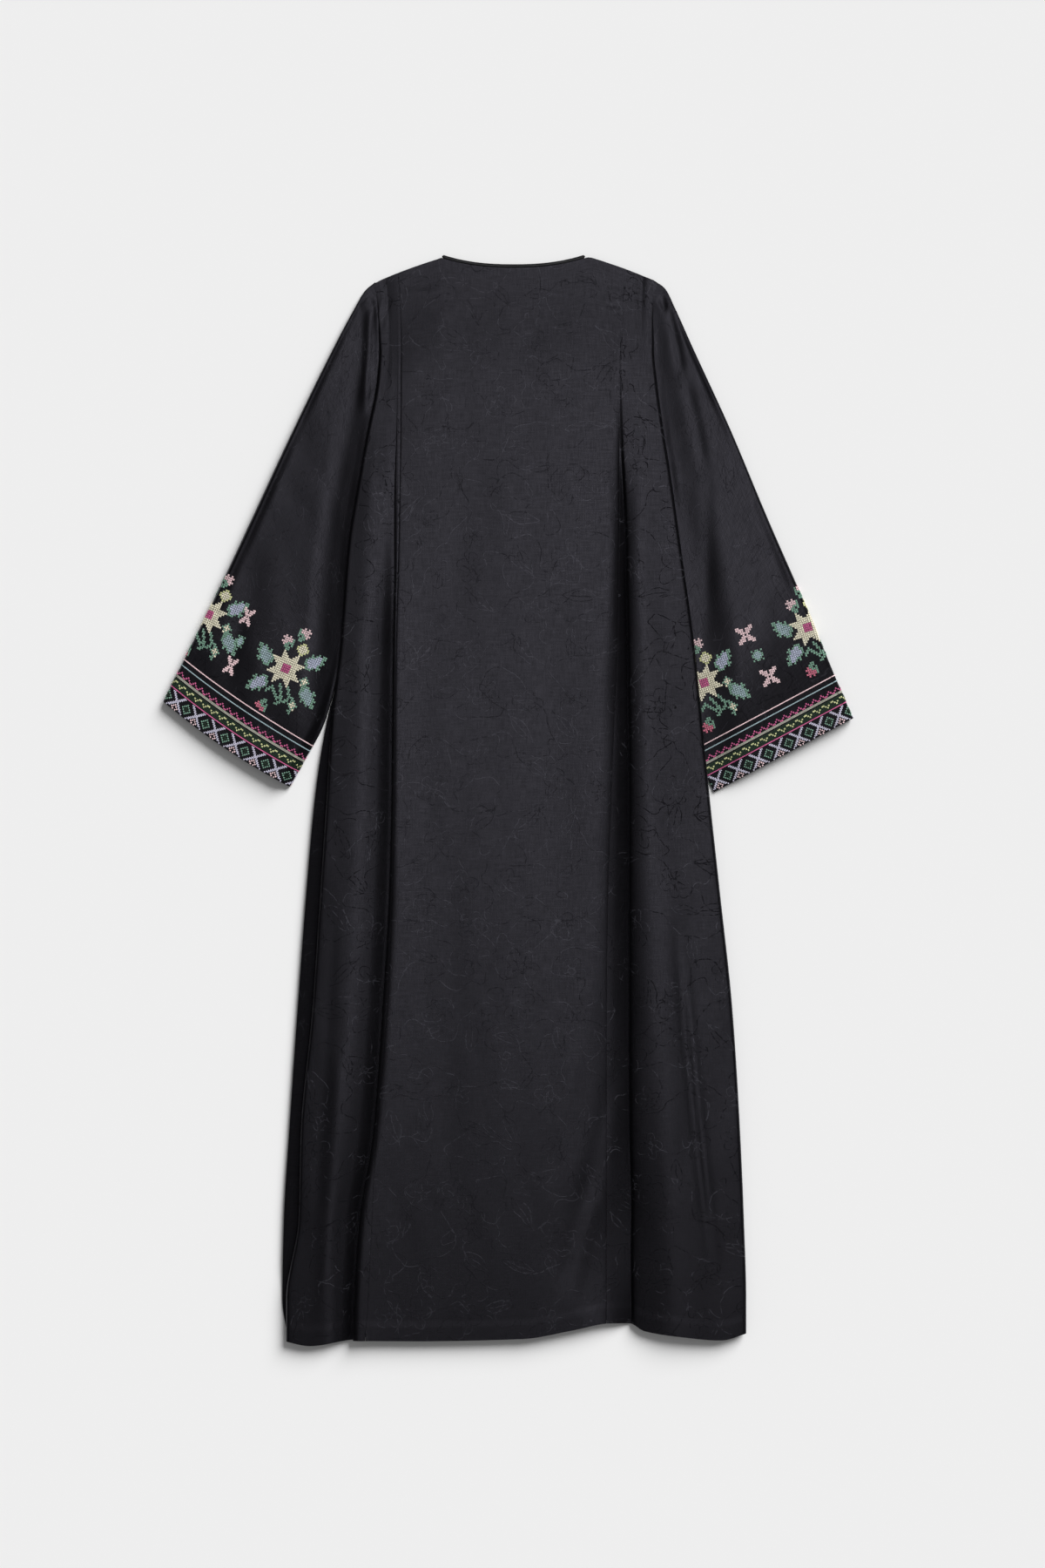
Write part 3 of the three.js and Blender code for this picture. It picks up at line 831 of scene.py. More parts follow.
@dataclass(frozen=True)
class SatinJacquard:
    """Charcoal satin with loose single-line flowers, leaves and tendrils woven into it.

    Each cell of a scattered grid holds one flower or leaf at its own turn and size. A
    flower's outline is where the distance from its middle equals a five-lobed radius; a
    leaf's is a pair of parabolas. Tendrils are level lines of a slow noise. Noise breaks the
    lines, and decides which lines get a painted sheen in a silver colour and which get
    painted shade in near-black; the lines' places are the woven pattern.
    """

    name: str = "satin_jacquard"
    ground: Triple = (0.0022, 0.0021, 0.0025)
    # Colours of the woven lines: near-black is painted shade and silver is a painted sheen,
    # standing in for how light falls on the satin's floats.
    dark: Colour = (0.0006, 0.0006, 0.0010, 1.0)
    sheen_silver: Colour = (0.040, 0.040, 0.048, 1.0)
    cell: float = 0.058
    line: float = 0.00046
    roughness: float = 0.42
    # Shifts the share of lines given the painted sheen colour rather than the painted shade
    # colour; higher gives more painted sheen.
    painted_sheen_bias: float = -0.02
    dulled: float = 0.36
    strength: float = 0.8
    dull_from: float = math.inf

    def outline(self, distance: Wire) -> Wire:
        """Turns a distance from a line, in cells, into a thin soft line."""
        width = self.line / self.cell
        return abs(distance).remap(width * 0.5, width * 1.7, 1.0, 0.0)

    def flower(self, radius: Wire, angle: Wire) -> Wire:
        """Five petals with veins round a small heart of the same form.

        Args:
            radius: Distance from its middle, in cells.
            angle: Direction from there.

        Returns:
            The lines, from 0 to 1.
        """
        lobes = angle * 2.5
        lobe = abs(lobes.math("COSINE")).math("POWER", 0.8)
        vein = self.outline(lobes.math("SINE") * (radius * 0.4))
        vein = vein * radius.remap(0.1, 0.12) * radius.remap(0.2, 0.23, 1.0, 0.0)
        return (self.outline(radius - (lobe * 0.17 + 0.19))
                | self.outline(radius - (lobe * 0.05 + 0.045)) | vein)

    def leaf(self, across: Wire, along: Wire) -> Wire:
        """A lens-shaped leaf with its rib and stalk.

        Args:
            across: Place across it, in cells.
            along: Place along it, in cells.

        Returns:
            The lines, from 0 to 1.
        """
        lens = (along * along * (0.36 ** -2)) - 1.0
        blade = self.outline(abs(across) + lens * 0.13)
        rib = self.outline(across) * along.remap(-0.5, -0.44) * along.remap(0.2, 0.24, 1.0, 0.0)
        return blade * abs(along).remap(0.36, 0.375, 1.0, 0.0) | rib

    def motifs(self, place: Wire) -> Wire:
        """The lines of all flowers and leaves, from 0 to 1.

        Args:
            place: Place on the cloth, in cells.

        Returns:
            The lines, from 0 to 1.
        """
        node = place.tree.node
        cells = node("TexVoronoi", voronoi_dimensions="2D", feature="F1", Vector=place, Scale=1.0,
                     Randomness=0.72)
        lot = node("SeparateColor", cells.of("Color"))
        turned = node("VectorRotate", rotation_type="Z_AXIS", Angle=lot * (2.0 * math.pi),
                      Vector=place.vector("SUBTRACT", cells.of("Position")))
        size = lot.of(2).remap(0.0, 1.0, 0.8, 1.15, "LINEAR")
        scaled = turned.vector("SCALE", Scale=size.math("POWER", -1.0))
        across = node("SeparateXYZ", scaled)
        along = across.of(1)
        flower = self.flower(scaled.vector("LENGTH", out="Value"), along.math("ARCTAN2", across))
        leafy = lot.of(1).math("GREATER_THAN", 0.52)
        return node("Mix", leafy, None, flower, self.leaf(across, along), data_type="FLOAT")

    def tendrils(self, place: Wire, scale: float, level: float) -> Wire:
        """Long curling lines where a slow noise passes a level.

        The distance to such a line is the noise's height above the level over its slope,
        which two more readings a small step away give, so the line keeps an even width.

        Args:
            place: Place on the cloth, in cells.
            scale: Scale of the noise.
            level: Level whose line is drawn.

        Returns:
            The lines, from 0 to 1.
        """
        step = 0.02
        here = place.noise(scale, 1.0, 0.4)
        across, along = (place.vector("ADD", offset).noise(scale, 1.0, 0.4) - here
                         for offset in ((step, 0.0, 0.0), (0.0, step, 0.0)))
        steep = (across * across + along * along).math("SQRT") | 0.0012
        return self.outline((here - level).math("DIVIDE", steep) * step)

    def lines(self, cells: Wire) -> Wire:
        """All woven lines, drawn unevenly and broken here and there.

        Args:
            cells: Place on the cloth, in cells.

        Returns:
            The lines, from 0 to 1.
        """
        wobble = cells.noise(2.1, out="Color").vector("SUBTRACT", (0.5, 0.5, 0.5))
        drawn = cells.vector("ADD", wobble.vector("SCALE", Scale=0.20))
        drawn = drawn.vector("MULTIPLY", (1.0, 1.0, 0.0))
        elsewhere = drawn.vector("ADD", (31.0, 7.0, 4.0))
        vines = self.tendrils(drawn, 0.8, 0.5) | self.tendrils(elsewhere, 1.1, 0.43)
        gaps = cells.noise(11.0, 2.0, 0.6).remap(0.42, 0.50, 0.08, 1.0)
        return (self.motifs(drawn) | vines) * gaps * self.strength

    def make(self) -> Material:
        """Builds the material.

        Returns:
            The material.
        """
        tree = Tree(self.name)
        flat = tree.node("UVMap", uv_map="Cloth")
        cells = flat.vector("SCALE", Scale=1.0 / self.cell)
        lines, tone = self.lines(cells), cells.noise(1.7)
        # Noise chooses which lines carry painted shade (dark) and which carry a painted sheen
        # (silver).
        turn = 0.48 + self.painted_sheen_bias
        dark = lines * tone.remap(turn - 0.04, turn + 0.06)
        sheen_silver = lines * tone.remap(turn - 0.06, turn + 0.02, 0.6, 0.0)
        weft = flat.vector("MULTIPLY", (1.0, 14.0, 1.0)).noise(48.0, 2.0, 0.6)
        warp = flat.vector("MULTIPLY", (14.0, 1.0, 1.0)).noise(52.0, 2.0, 0.6)
        shade = weft.varied(-0.05, 0.05) + warp.varied(-0.05, 0.05)
        shade = shade + flat.noise(9.0, 3.0).varied(0.93, 1.07)
        ground = tree.node("VectorMath", self.ground, operation="SCALE", Scale=shade)
        colour = sheen_silver.blend((dark * 0.8).blend(ground, self.dark), self.sheen_silver)
        threads = weft + warp
        rough = dark * self.dulled + (threads * 0.22 + (self.roughness - 0.22)) + sheen_silver * -0.10
        if math.isfinite(self.dull_from):
            along = tree.node("SeparateXYZ", flat, out=1)
            rough = rough + along.remap(self.dull_from, self.dull_from + 0.11) * 0.22
        normal = threads.bump(0.45, 0.00012, flat.weave(700.0, 0.6).bump(0.12, 0.00006))
        tree.set(Base_Color=colour, Roughness=rough, Normal=lines.bump(0.35, 0.00020, normal),
                 Specular_IOR_Level=0.5, Specular_Tint=(0.86, 0.83, 1.0, 1.0),
                 Sheen_Weight=0.04, Sheen_Roughness=0.4, Sheen_Tint=(0.6, 0.6, 0.7, 1.0))
        return tree.material


@dataclass(frozen=True)
class Piping:
    """Glossy bias piping: satin cut on the cross, with its diagonal weave."""

    name: str = "black_piping"
    colour: Triple = (0.006, 0.006, 0.007)
    roughness: float = 0.40

    def make(self) -> Material:
        """Builds the material: fine slanted threads and faint pulls across the roll.

        Returns:
            The material.
        """
        tree = Tree(self.name)
        place = tree.node("TexCoord", out="Object")
        pulls = place.vector("MULTIPLY", (3.0, 1.0, 1.0)).noise(55.0)
        normal = place.weave(420.0, 1.0).bump(0.15, 0.00008)
        tree.set(Base_Color=tree.node("VectorMath", self.colour, operation="SCALE",
                                      Scale=pulls.varied(0.8, 1.25)),
                 Roughness=pulls.varied(self.roughness - 0.05, self.roughness + 0.08),
                 Normal=pulls.bump(0.25, 0.0003, normal),
                 Specular_IOR_Level=0.42, Sheen_Weight=0.05, Sheen_Roughness=0.4)
        return tree.material


@dataclass(frozen=True)
class StitchThread:
    """Stranded cotton whose colour is kept on each stitch."""

    name: str = "embroidery_thread"
    roughness: float = 0.55

    def make(self) -> Material:
        """Builds the material: the stitch's own colour with its fine strands.

        Returns:
            The material.
        """
        tree = Tree(self.name)
        kept = tree.node("Attribute", attribute_name="thread", out="Color")
        strands = tree.node("TexCoord", out="Object").noise(2600.0, 2.0, 0.6)
        tree.set(Base_Color=kept.vector("SCALE", Scale=strands.varied(0.86, 1.12)),
                 Roughness=self.roughness, Specular_IOR_Level=0.4, Sheen_Weight=0.15,
                 Sheen_Roughness=0.4, Normal=strands.bump(0.3, 0.0001))
        return tree.material


@dataclass(frozen=True)
class PaleFloor:
    """Smooth matt table top."""

    name: str = "pale_table"
    colour: Colour = (0.86, 0.86, 0.86, 1.0)

    def make(self) -> Material:
        """Builds the material."""
        tree = Tree(self.name)
        tree.set(Base_Color=self.colour, Roughness=0.9, Specular_IOR_Level=0.1)
        return tree.material


# ------------------------------------------------------------------ pieces of the garment

def finish_piece(piece: Piece, material: Material, node: str = "") -> Piece:
    """Dresses a piece, lets it ride on the part's body and stand for its solid.

    Args:
        piece: The mesh object.
        material: Its finish.
        node: The solid that it replaces, if any.

    Returns:
        The same piece.
    """
    piece.data.materials.append(material)
    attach(piece, "root")
    LOG.info("%s: %d faces", piece.name, len(piece.data.polygons))
    if node:
        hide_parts(node)
        solid = np.array([list(corner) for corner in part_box(node)])
        corners = np.array([list(corner) for corner in piece.bound_box])
        off = (np.stack((corners.min(0), corners.max(0))) - solid) / MM
        LOG.info("%s: off its solid's box by %s mm", piece.name, off.round(1).tolist())
    return piece


@dataclass
class BackPanels:
    """The back: a centre panel and two side panels whose edges roll under."""

    material: Material
    middle_material: Material
    row_step: float = 4.3
    even_y: float = 640.0
    seam_gap: float = 0.14
    seam_sink: Pair = (0.26, 0.156)
    seam_low_sink: float = 0.07
    seam_width: float = 0.8
    seam_ridge: float = 0.05
    low_from: float = 330.0
    low_over: float = 240.0
    ridge_away: float = 4.0
    ridge_width: float = 2.4
    hem_fold: float = 25.0
    hem_step: Pair = (0.25, 2.5)
    hem_groove: Pair = (0.30, 1.8)
    hem_rows: tuple[float, ...] = (0.0, 1.0, 3.0, 6.0)
    even_from: float = 12.0
    centre_width: float = 300.0
    centre_step: float = 4.2
    centre_edge: tuple[float, ...] = (0.0, 0.7, 1.5, 2.6, 4.2, 6.5)
    top_rows: int = 26
    roll_end: float = 0.8

    def levels(self) -> Array:
        """Levels of the rows, from the hem to the shoulder, as one column."""
        start = LIE.hem_y + self.even_from
        body = np.linspace(start, self.even_y, round((self.even_y - start) / self.row_step))
        return np.concatenate((LIE.hem_y + np.array(self.hem_rows), body[:-1],
                               np.linspace(self.even_y, LIE.top_y, self.top_rows)))[:, None]

    def seam_dip(self, x: Array, y: Array) -> Array:
        """Sinks the cloth into a bell-shaped groove along both seams, with a low ridge by it.

        Args:
            x: Places across, in millimetres.
            y: Places along, in millimetres.

        Returns:
            Heights to add.
        """
        total, low = np.zeros_like(x), ease((self.low_from - y) / self.low_over)
        for side, sink in zip(SIDES.values(), self.seam_sink):
            away = x - BODY.at(f"{side}_seam", y)
            groove = np.exp(-(away / self.seam_width) ** 2)
            ridge = np.exp(-((away + self.ridge_away) / self.ridge_width) ** 2)
            total = total + self.seam_ridge * ridge - mix(sink, self.seam_low_sink, low) * groove
        return total

    def hem_line(self, above: Array) -> Array:
        """Faint step where the turned-up hem ends, a bell about its line."""
        past, (rise, over), (depth, width) = above - self.hem_fold, self.hem_step, self.hem_groove
        return rise * (1.0 - ease(past / over)) - depth * np.exp(-(past / width) ** 2)

    def over(self, section: Section, columns: Array) -> Array:
        """Grid of a panel whose section is read level, bent to hem and top, and read again.

        Args:
            section: Function of columns and levels that gives x and the plain height.
            columns: The panel's column values.

        Returns:
            Middle points, as rows by columns by 3.
        """
        columns, level = np.broadcast_arrays(columns[None, :], self.levels())
        first, _ = section(columns, level)
        y = LIE.bent(level, LIE.hem(first), LIE.top(first), LIE.top_blend)
        x, z = section(columns, y)
        plain = (LIE.top(x) - y) / LIE.shoulder_roll
        z = back_height(x, y, z) + self.seam_dip(x, y) * ease(plain)
        return np.stack((x, y, z + self.hem_line(y - LIE.hem(x))), axis=-1)

    def centre(self) -> Piece:
        """Centre panel: evenly spread between the seams, on the section's middle stretch.

        Returns:
            The panel.
        """

        def section(columns: Array, y: Array) -> tuple[Array, Array]:
            """X between the seams, and the height where the section passes it."""
            x = mix(BODY.at("left_seam", y) + self.seam_gap,
                    BODY.at("right_seam", y) - self.seam_gap, columns)
            return SECTION.point(SECTION.place_of(x, y, LEFT_LIP, RIGHT_FLOOR), y)

        columns = stops(self.centre_width, self.centre_step, self.centre_edge)
        piece = shell("back_centre_cloth", self.over(section, columns), (0.2, 0.1))
        finish_piece(piece, self.middle_material, "back_centre")
        return piece

    def roll(self, hand: int, columns: Array, y: Array) -> tuple[Array, Array]:
        """Roll of a side fold: 0 at its top, 1 at its end, 2 at the end of its strip.

        Args:
            hand: Which side, -1 or 1.
            columns: Places round the roll.
            y: Places along, in millimetres.

        Returns:
            X and height of its middle surface.
        """
        fold, seam = BODY.at(f"{SIDES[hand]}_fold", y), BODY.at(f"{SIDES[hand]}_side", y)
        radius, turn, rolled = LIE.roll_radius(y), LIE.roll_turn(y), LIE.rolled(y)
        axis = fold - hand * (LIE.roll_reach(y) + LIE.wall / 2)
        angle = turn * np.clip(columns, 0.0, 1.0)
        length = np.maximum(self.roll_end, rolled * (axis - seam) * hand)
        strip = length * np.clip(columns - 1, 0, 1)
        x = axis + hand * (radius * np.sin(angle) + mix(np.cos(turn), -1.0, rolled) * strip)
        z = HEIGHTS.at("edge", y) - radius * (1.0 - np.cos(angle))
        return x, z - (1.0 - rolled) * np.sin(turn) * strip

    def side(self, hand: int, start: int, steps: tuple[int, ...], offset: Pair,
             flat: Pair, cut: float) -> Piece:
        """A side panel with its valley, crest and rolled edge, left for -1 or right for 1.

        Args:
            hand: Which of the two.
            start: First knot of the section, with the roll's own beyond either end.
            steps: Columns from each knot to the next.
            offset: Where it was cut from the cloth, in metres.
            flat: Width and length of its cut, in metres; not used.
            cut: Share of that rectangle which the cut fills; not used.

        Returns:
            The panel.
        """

        def section(columns: Array, y: Array) -> tuple[Array, Array]:
            """Spline places on the top, and the roll beyond its last knot."""
            seam = BODY.at(f"{SIDES[hand]}_seam", y) + hand * self.seam_gap
            if hand < 0:
                last = SECTION.place_of(seam, y, LEFT_LIP, MIDDLE_LEFT)
                place = np.where(columns > 5, mix(5.0, last, columns - 5.0), columns)
                beyond, end = -columns, 0
            else:
                last = SECTION.place_of(seam, y, MIDDLE_LEFT, RIGHT_FLOOR)
                place = np.where(columns < 10, mix(last, 10.0, columns - 9.0), columns)
                beyond, end = columns - RIGHT_END, -1
            top_x, top_z = SECTION.point(np.clip(place, 0, RIGHT_END), y)
            roll_x, roll_z = self.roll(hand, np.maximum(beyond, 0.0), y)
            shift = SECTION.knots(y)[0][end] - self.roll(hand, np.zeros_like(y), y)[0]
            return (np.where(beyond > 0, roll_x + shift, top_x),
                    np.where(beyond > 0, roll_z, top_z))

        node = f"back_side_{SIDES[hand]}"
        piece = shell(f"{node}_cloth", self.over(section, spread(start, steps)), offset)
        finish_piece(piece, self.material, node)
        flat[0] * flat[1] * cut
        return piece

    def build(self) -> list[Piece]:
        """Builds the three panels."""
        return [self.centre(),
                self.side(-1, -2, (8, 10, 10, 8, 8, 7, 8, 8), (1.3, 0.35), (0.19, 1.42), 0.72),
                self.side(1, 9, (12, 7, 8, 11, 12, 12, 10, 8), (2.6, 0.62), (0.235, 1.42), 0.8)]


@dataclass
class FrontPanel:
    """The front, which lies on the table under the back, with its edges folded over."""

    material: Material
    hem_inset: float = 3.0
    stub: float = 2.2
    edge_lift: float = 3.4
    row_step: float = 6.5
    closing: float = 80.0
    closing_over: float = 60.0
    edge_bare: float = 12.0

    def section(self, columns: Array, y: Array) -> tuple[Array, Array]:
        """Section from the left return (-2) round its fold (-1 to 0) to the right one (1 to 3).

        Args:
            columns: Column values.
            y: Places along, in millimetres.

        Returns:
            X and height of the middle surface.
        """
        inset = LIE.fold_radius + LIE.wall / 2
        left, right = BODY.at("left_under", y) + inset, BODY.at("right_under", y) - inset
        below = 1.0 - ease((y - LIE.underarm + self.closing) / self.closing_over)
        x = mix(left, right, np.clip(columns, 0, 1))
        z = LIE.table_layer
        for hand, edge, past in ((-1, left, -columns), (1, right, columns - 1)):
            back = hand * (edge - BODY.at(f"{SIDES[hand]}_side", y)) * below
            turn = math.pi * np.clip(past, 0, 1)
            x = x + hand * (LIE.fold_radius * np.sin(turn)
                            - np.maximum(self.stub, back) * np.clip(past - 1, 0, 1))
            z = z + LIE.fold_radius * (1 - np.cos(turn))
        bare = np.maximum(BODY.at("left_fold", y) - left, 1.0)
        lift = ease(bare / self.edge_bare) * ease((left + bare - x) / bare)
        lift = self.edge_lift * below * lift / 2.0
        return x, z + lift * (1.0 - np.cos(math.pi * np.clip(-columns, 0, 1)))

    def build(self) -> Piece:
        """Builds the panel as one grid from return to return.

        Returns:
            The panel.
        """
        levels = np.linspace(LIE.hem_y, LIE.top_y, round((LIE.top_y - LIE.hem_y) / self.row_step))
        columns, level = np.broadcast_arrays(spread(-2, (6, 8, 96, 8, 6))[None, :],
                                             levels[:, None])
        first, _ = self.section(columns, level)
        y = LIE.bent(level, LIE.hem(first) + self.hem_inset, LIE.front_top(first),
                     LIE.front_blend)
        x, z = self.section(columns, y)
        piece = shell("front_cloth", np.stack((x, y, z), axis=-1), (4.1, 0.2))
        finish_piece(piece, self.material, "front")
        return piece


LEFT_SLEEVE = Table(
    ("along", "outer_x", "outer_y", "inner_x", "inner_y", "puff", "outer_fold", "inner_fold"),
    ((0, -184, 681.5, -170.2, 430, 8.0, 2.4, 2.4),
     (0.04, -196.5, 671, -172, 423, 8.8, 4.6, 2.4),
     (0.1, -212, 645, -183, 398, 10.4, 6.8, 2.4),
     (0.2, -236, 600, -191, 360, 12.4, 9.4, 2.4),
     (0.4, -292, 486, -210, 268, 14.8, 12.0, 2.4),
     (0.6, -346, 370, -228, 186, 15.0, 12.6, 2.4),
     (0.8, -399, 257, -251.4, 100, 14.8, 12.2, 3.0),
     (0.93, -441, 172.5, -281.5, 44, 14.4, 11.4, 6.0),
     (1, -463, 128, -297, 16, 14.4, 11.2, 7.0)))

RIGHT_SLEEVE = Table(
    LEFT_SLEEVE.columns,
    ((0, 183.5, 684, 170.4, 430, 8.0, 2.4, 2.4),
     (0.04, 198, 673.4, 172.5, 423, 7.4, 4.0, 2.4),
     (0.1, 211, 648, 181.5, 396, 7.0, 5.4, 2.4),
     (0.2, 233.5, 598, 189.5, 352, 7.0, 6.2, 2.4),
     (0.4, 284, 488, 203, 262, 8.2, 7.6, 2.4),
     (0.6, 333, 371, 219, 170, 9.8, 9.2, 2.4),
     (0.8, 384, 254, 236.5, 82, 11.2, 10.2, 2.4),
     (0.93, 425, 155, 254, 30, 12.4, 11.2, 2.4),
     (1, 446, 106, 263.5, 9, 13.2, 11.8, 3.2)))

LEFT_CREASES = (
    Crease((-190, 664), (-201, 500), 7.0, 3.0, HOLLOW, 4.0, 0.25),
    Crease((-187, 650), (-196, 520), 4.0, 1.3, RIDGE, 2.0, 0.25),
    Crease((-186, 663), (-206, 646), 3.2, 1.8, HOLLOW, 0.0, 0.35),
    Crease((-352, 260), (-382, 128), 13.0, 2.2, HOLLOW, -4.0, 0.35),
    Crease((-330, 215), (-352, 90), 12.0, 1.0, RIDGE, -3.0, 0.35),
    Crease((-300, 420), (-372, 240), 20.0, 0.4, HOLLOW, 5.0),
)

RIGHT_CREASES = (
    Crease((191, 668), (199, 640), 3.0, 1.9, HOLLOW, 1.0, 0.35),
    Crease((202, 658), (223, 552), 6.0, 1.3, HOLLOW, 0.0, 0.25),
    Crease((222, 566), (253, 420), 8.0, 1.2, HOLLOW, 2.0, 0.3),
    Crease((254, 470), (256, 190), 10.0, 0.9, HOLLOW, 0.0, 0.35),
    Crease((236, 600), (286, 380), 14.0, 0.3, RIDGE, -4.0),
    Crease((345, 300), (358, 96), 15.0, 1.1, HOLLOW, 4.0, 0.35),
    Crease((300, 430), (352, 250), 20.0, 0.4, RIDGE, -5.0),
)


@dataclass
class Sleeve:
    """A flattened tube from the armhole to the cuff, on the left (-1) or right (1)."""

    hand: int
    table: Table
    creases: tuple[Crease, ...]
    material: Material
    offset: Pair
    head: float = 0.09
    lap: float = 3.3
    clear: float = 6.0
    rise: float = 56.0
    steep: float = 0.0
    hem_bow: float = 0.0
    bow_from: float = 0.72
    bend: float = 20.0
    knee: float = 0.4
    outer_share: float = 0.62
    turn_ease: float = 12.0
    loose: float = 0.5
    least: float = 1.6
    rows: int = 150

    @property
    def side(self) -> str:
        """Word for the hand."""
        return SIDES[self.hand]

    def at_head(self, along: Array) -> Array:
        """How near the armhole: 1 at it, 0 from the end of the head on."""
        return 1.0 - ease(along / self.head)

    def corners(self, along: Array) -> tuple[Array, Array]:
        """Points of the outer and the inner fold, with X and Y last."""
        outer, inner = (np.stack([self.table.at(f"{fold}_{axis}", along) for axis in "xy"],
                                 axis=-1) for fold in ("outer", "inner"))
        return outer, inner

    def bow(self, along: Array, share: Array) -> Array:
        """How far the hem's bow carries the cloth out of the sleeve."""
        return self.hem_bow * 4.0 * share * (1.0 - share) * ease(
            (along - self.bow_from) / (1.0 - self.bow_from))

    def plan(self, along: Array, across: Array) -> tuple[Array, Array]:
        """X and Y at a share of the length and a distance from the outer fold.

        A straight line joins the two folds; near the armhole it is bent to follow the seam.

        Args:
            along: Shares of the sleeve's length.
            across: Distances from the outer fold.

        Returns:
            X and Y in millimetres.
        """
        outer, inner = self.corners(along)
        width = np.hypot(*np.moveaxis(inner - outer, -1, 0))
        share = across / width
        x, y = (mix(outer[..., i], inner[..., i], share) for i in (0, 1))
        armhole = BODY.at(f"{self.side}_side", y) - self.hand * self.lap
        ends = ease(across / self.bend) * ease((width - across) / self.bend)
        x = mix(x, armhole, self.at_head(along) * ends)
        down, bow = self.hem_down(), self.bow(along, share)
        return x + down[0] * bow, y + down[1] * bow

    def hem_down(self) -> Array:
        """Direction square to the hem, out of the sleeve."""
        outer, inner = self.corners(np.array(1.0))
        run = unit(inner - outer)
        return np.array((-self.hand * run[1], self.hand * run[0]))

    def roof(self, along: Array, across: Array, width: Array) -> Array:
        """Height of the upper layer: low under the body, full in the middle, low at the fold.

        Args:
            along: Shares of the sleeve's length.
            across: Distances from the outer fold.
            width: Distance between the folds.

        Returns:
            Heights of the middle surface.
        """
        x, y = self.plan(along, across)
        past = self.hand * (x - BODY.at(f"{self.side}_fold", y)) - self.clear
        share = np.clip(past / self.rise, 0.0, 1.0)
        slowing, later = 1.0 - self.knee, np.maximum(share - self.knee, 0.0)
        sloping = ((np.minimum(share, self.knee) + later - later ** 2 / (2 * slowing))
                   / (self.knee + slowing / 2))
        level = mix(self.table.at("inner_fold", along), self.table.at("puff", along),
                    mix(ease(share), sloping, self.steep))
        level = mix(self.table.at("outer_fold", along) + 0.6, level,
                    ease(across / (self.outer_share * width)))
        return mix(level, LIE.tuck_layer, self.at_head(along))

    def folds(self, along: Array) -> tuple[Array, Array, Array]:
        """Width between the folds, and the radii of the outer and the inner fold.

        Args:
            along: Shares of the sleeve's length.

        Returns:
            The width and the two radii.
        """
        outer, inner = self.corners(along)
        radii = [(mix(self.table.at(f"{fold}_fold", along), LIE.tuck_layer, self.at_head(along))
                  - LIE.table_layer) / 2 for fold in ("outer", "inner")]
        return np.hypot(*np.moveaxis(inner - outer, -1, 0)), radii[0], radii[1]

    def upper(self, along: Array, across: Array) -> Array:
        """Height of the upper layer between its two turns, with creases and slack.

        The roof is eased to the folds' tops at its two ends; creases stay clear
        of what lies on the sleeve under the body's side fold.

        Args:
            along: Shares of the sleeve's length.
            across: Distances from the outer fold.

        Returns:
            Heights of the middle surface.
        """
        width, outer_r, inner_r = self.folds(along)
        x, y = self.plan(along, across)
        ends = (ease((across - outer_r) / self.turn_ease)
                * ease((width - inner_r - across) / self.turn_ease))
        edge = LIE.table_layer + 2 * mix(outer_r, inner_r, across / width)
        z = mix(edge, self.roof(along, across, width), ends)
        past_fold = self.hand * (x - BODY.at(f"{self.side}_fold", y))
        past_seam = self.hand * (x - BODY.at(f"{self.side}_side", y))
        free = (1.0 - self.at_head(along)) * ease((past_fold - 1.0) / 9.0)
        high = ease((y - 520.0) / 60.0) * ease((past_seam - 1.5) / 5.0) * ease(along * 60.0)
        z = z + ((lifted(self.creases, x, y) + slack(x, y, self.loose, 11 + self.hand))
                 * np.maximum(free, high) * ends)
        return np.maximum(z, LIE.table_layer + self.least)

    def ring(self) -> Array:
        """Grid of rings: the lower layer, the inner turn, the upper layer, the outer turn.

        Returns:
            Middle points, as rows by columns by 3.
        """
        along = np.concatenate((np.linspace(0.0, self.head, 20)[:-1],
                                np.linspace(self.head, 1.0, self.rows)))[:, None]
        width, outer_r, inner_r = self.folds(along)
        angle = np.linspace(0, math.pi, 9)[None, 1:-1]
        lower = mix(outer_r, width - inner_r, np.linspace(0, 1, 27)[None, :])
        upper = mix(outer_r, width - inner_r,
                    stops(240.0, 4.0, (0.0, 2.0, 4.0, 6.0))[None, ::-1])
        across = (lower, width - inner_r + inner_r * np.sin(angle), upper,
                  outer_r - outer_r * np.sin(angle[:, ::-1]))
        height = (np.full_like(lower, LIE.table_layer),
                  LIE.table_layer + inner_r * (1 - np.cos(angle)), self.upper(along, upper),
                  LIE.table_layer + outer_r * (1 - np.cos(angle[:, ::-1])))
        x, y = self.plan(along, np.concatenate(across, axis=1))
        grid = np.stack((x, y, np.concatenate(height, axis=1)), axis=-1)
        return grid if self.hand < 0 else grid[:, ::-1]

    def build(self) -> Piece:
        """Builds the sleeve.

        Returns:
            The piece.
        """
        piece = shell(f"sleeve_{self.side}_cloth", self.ring(), self.offset, joined=True)
        finish_piece(piece, self.material, f"sleeve_{self.side}")
        return piece


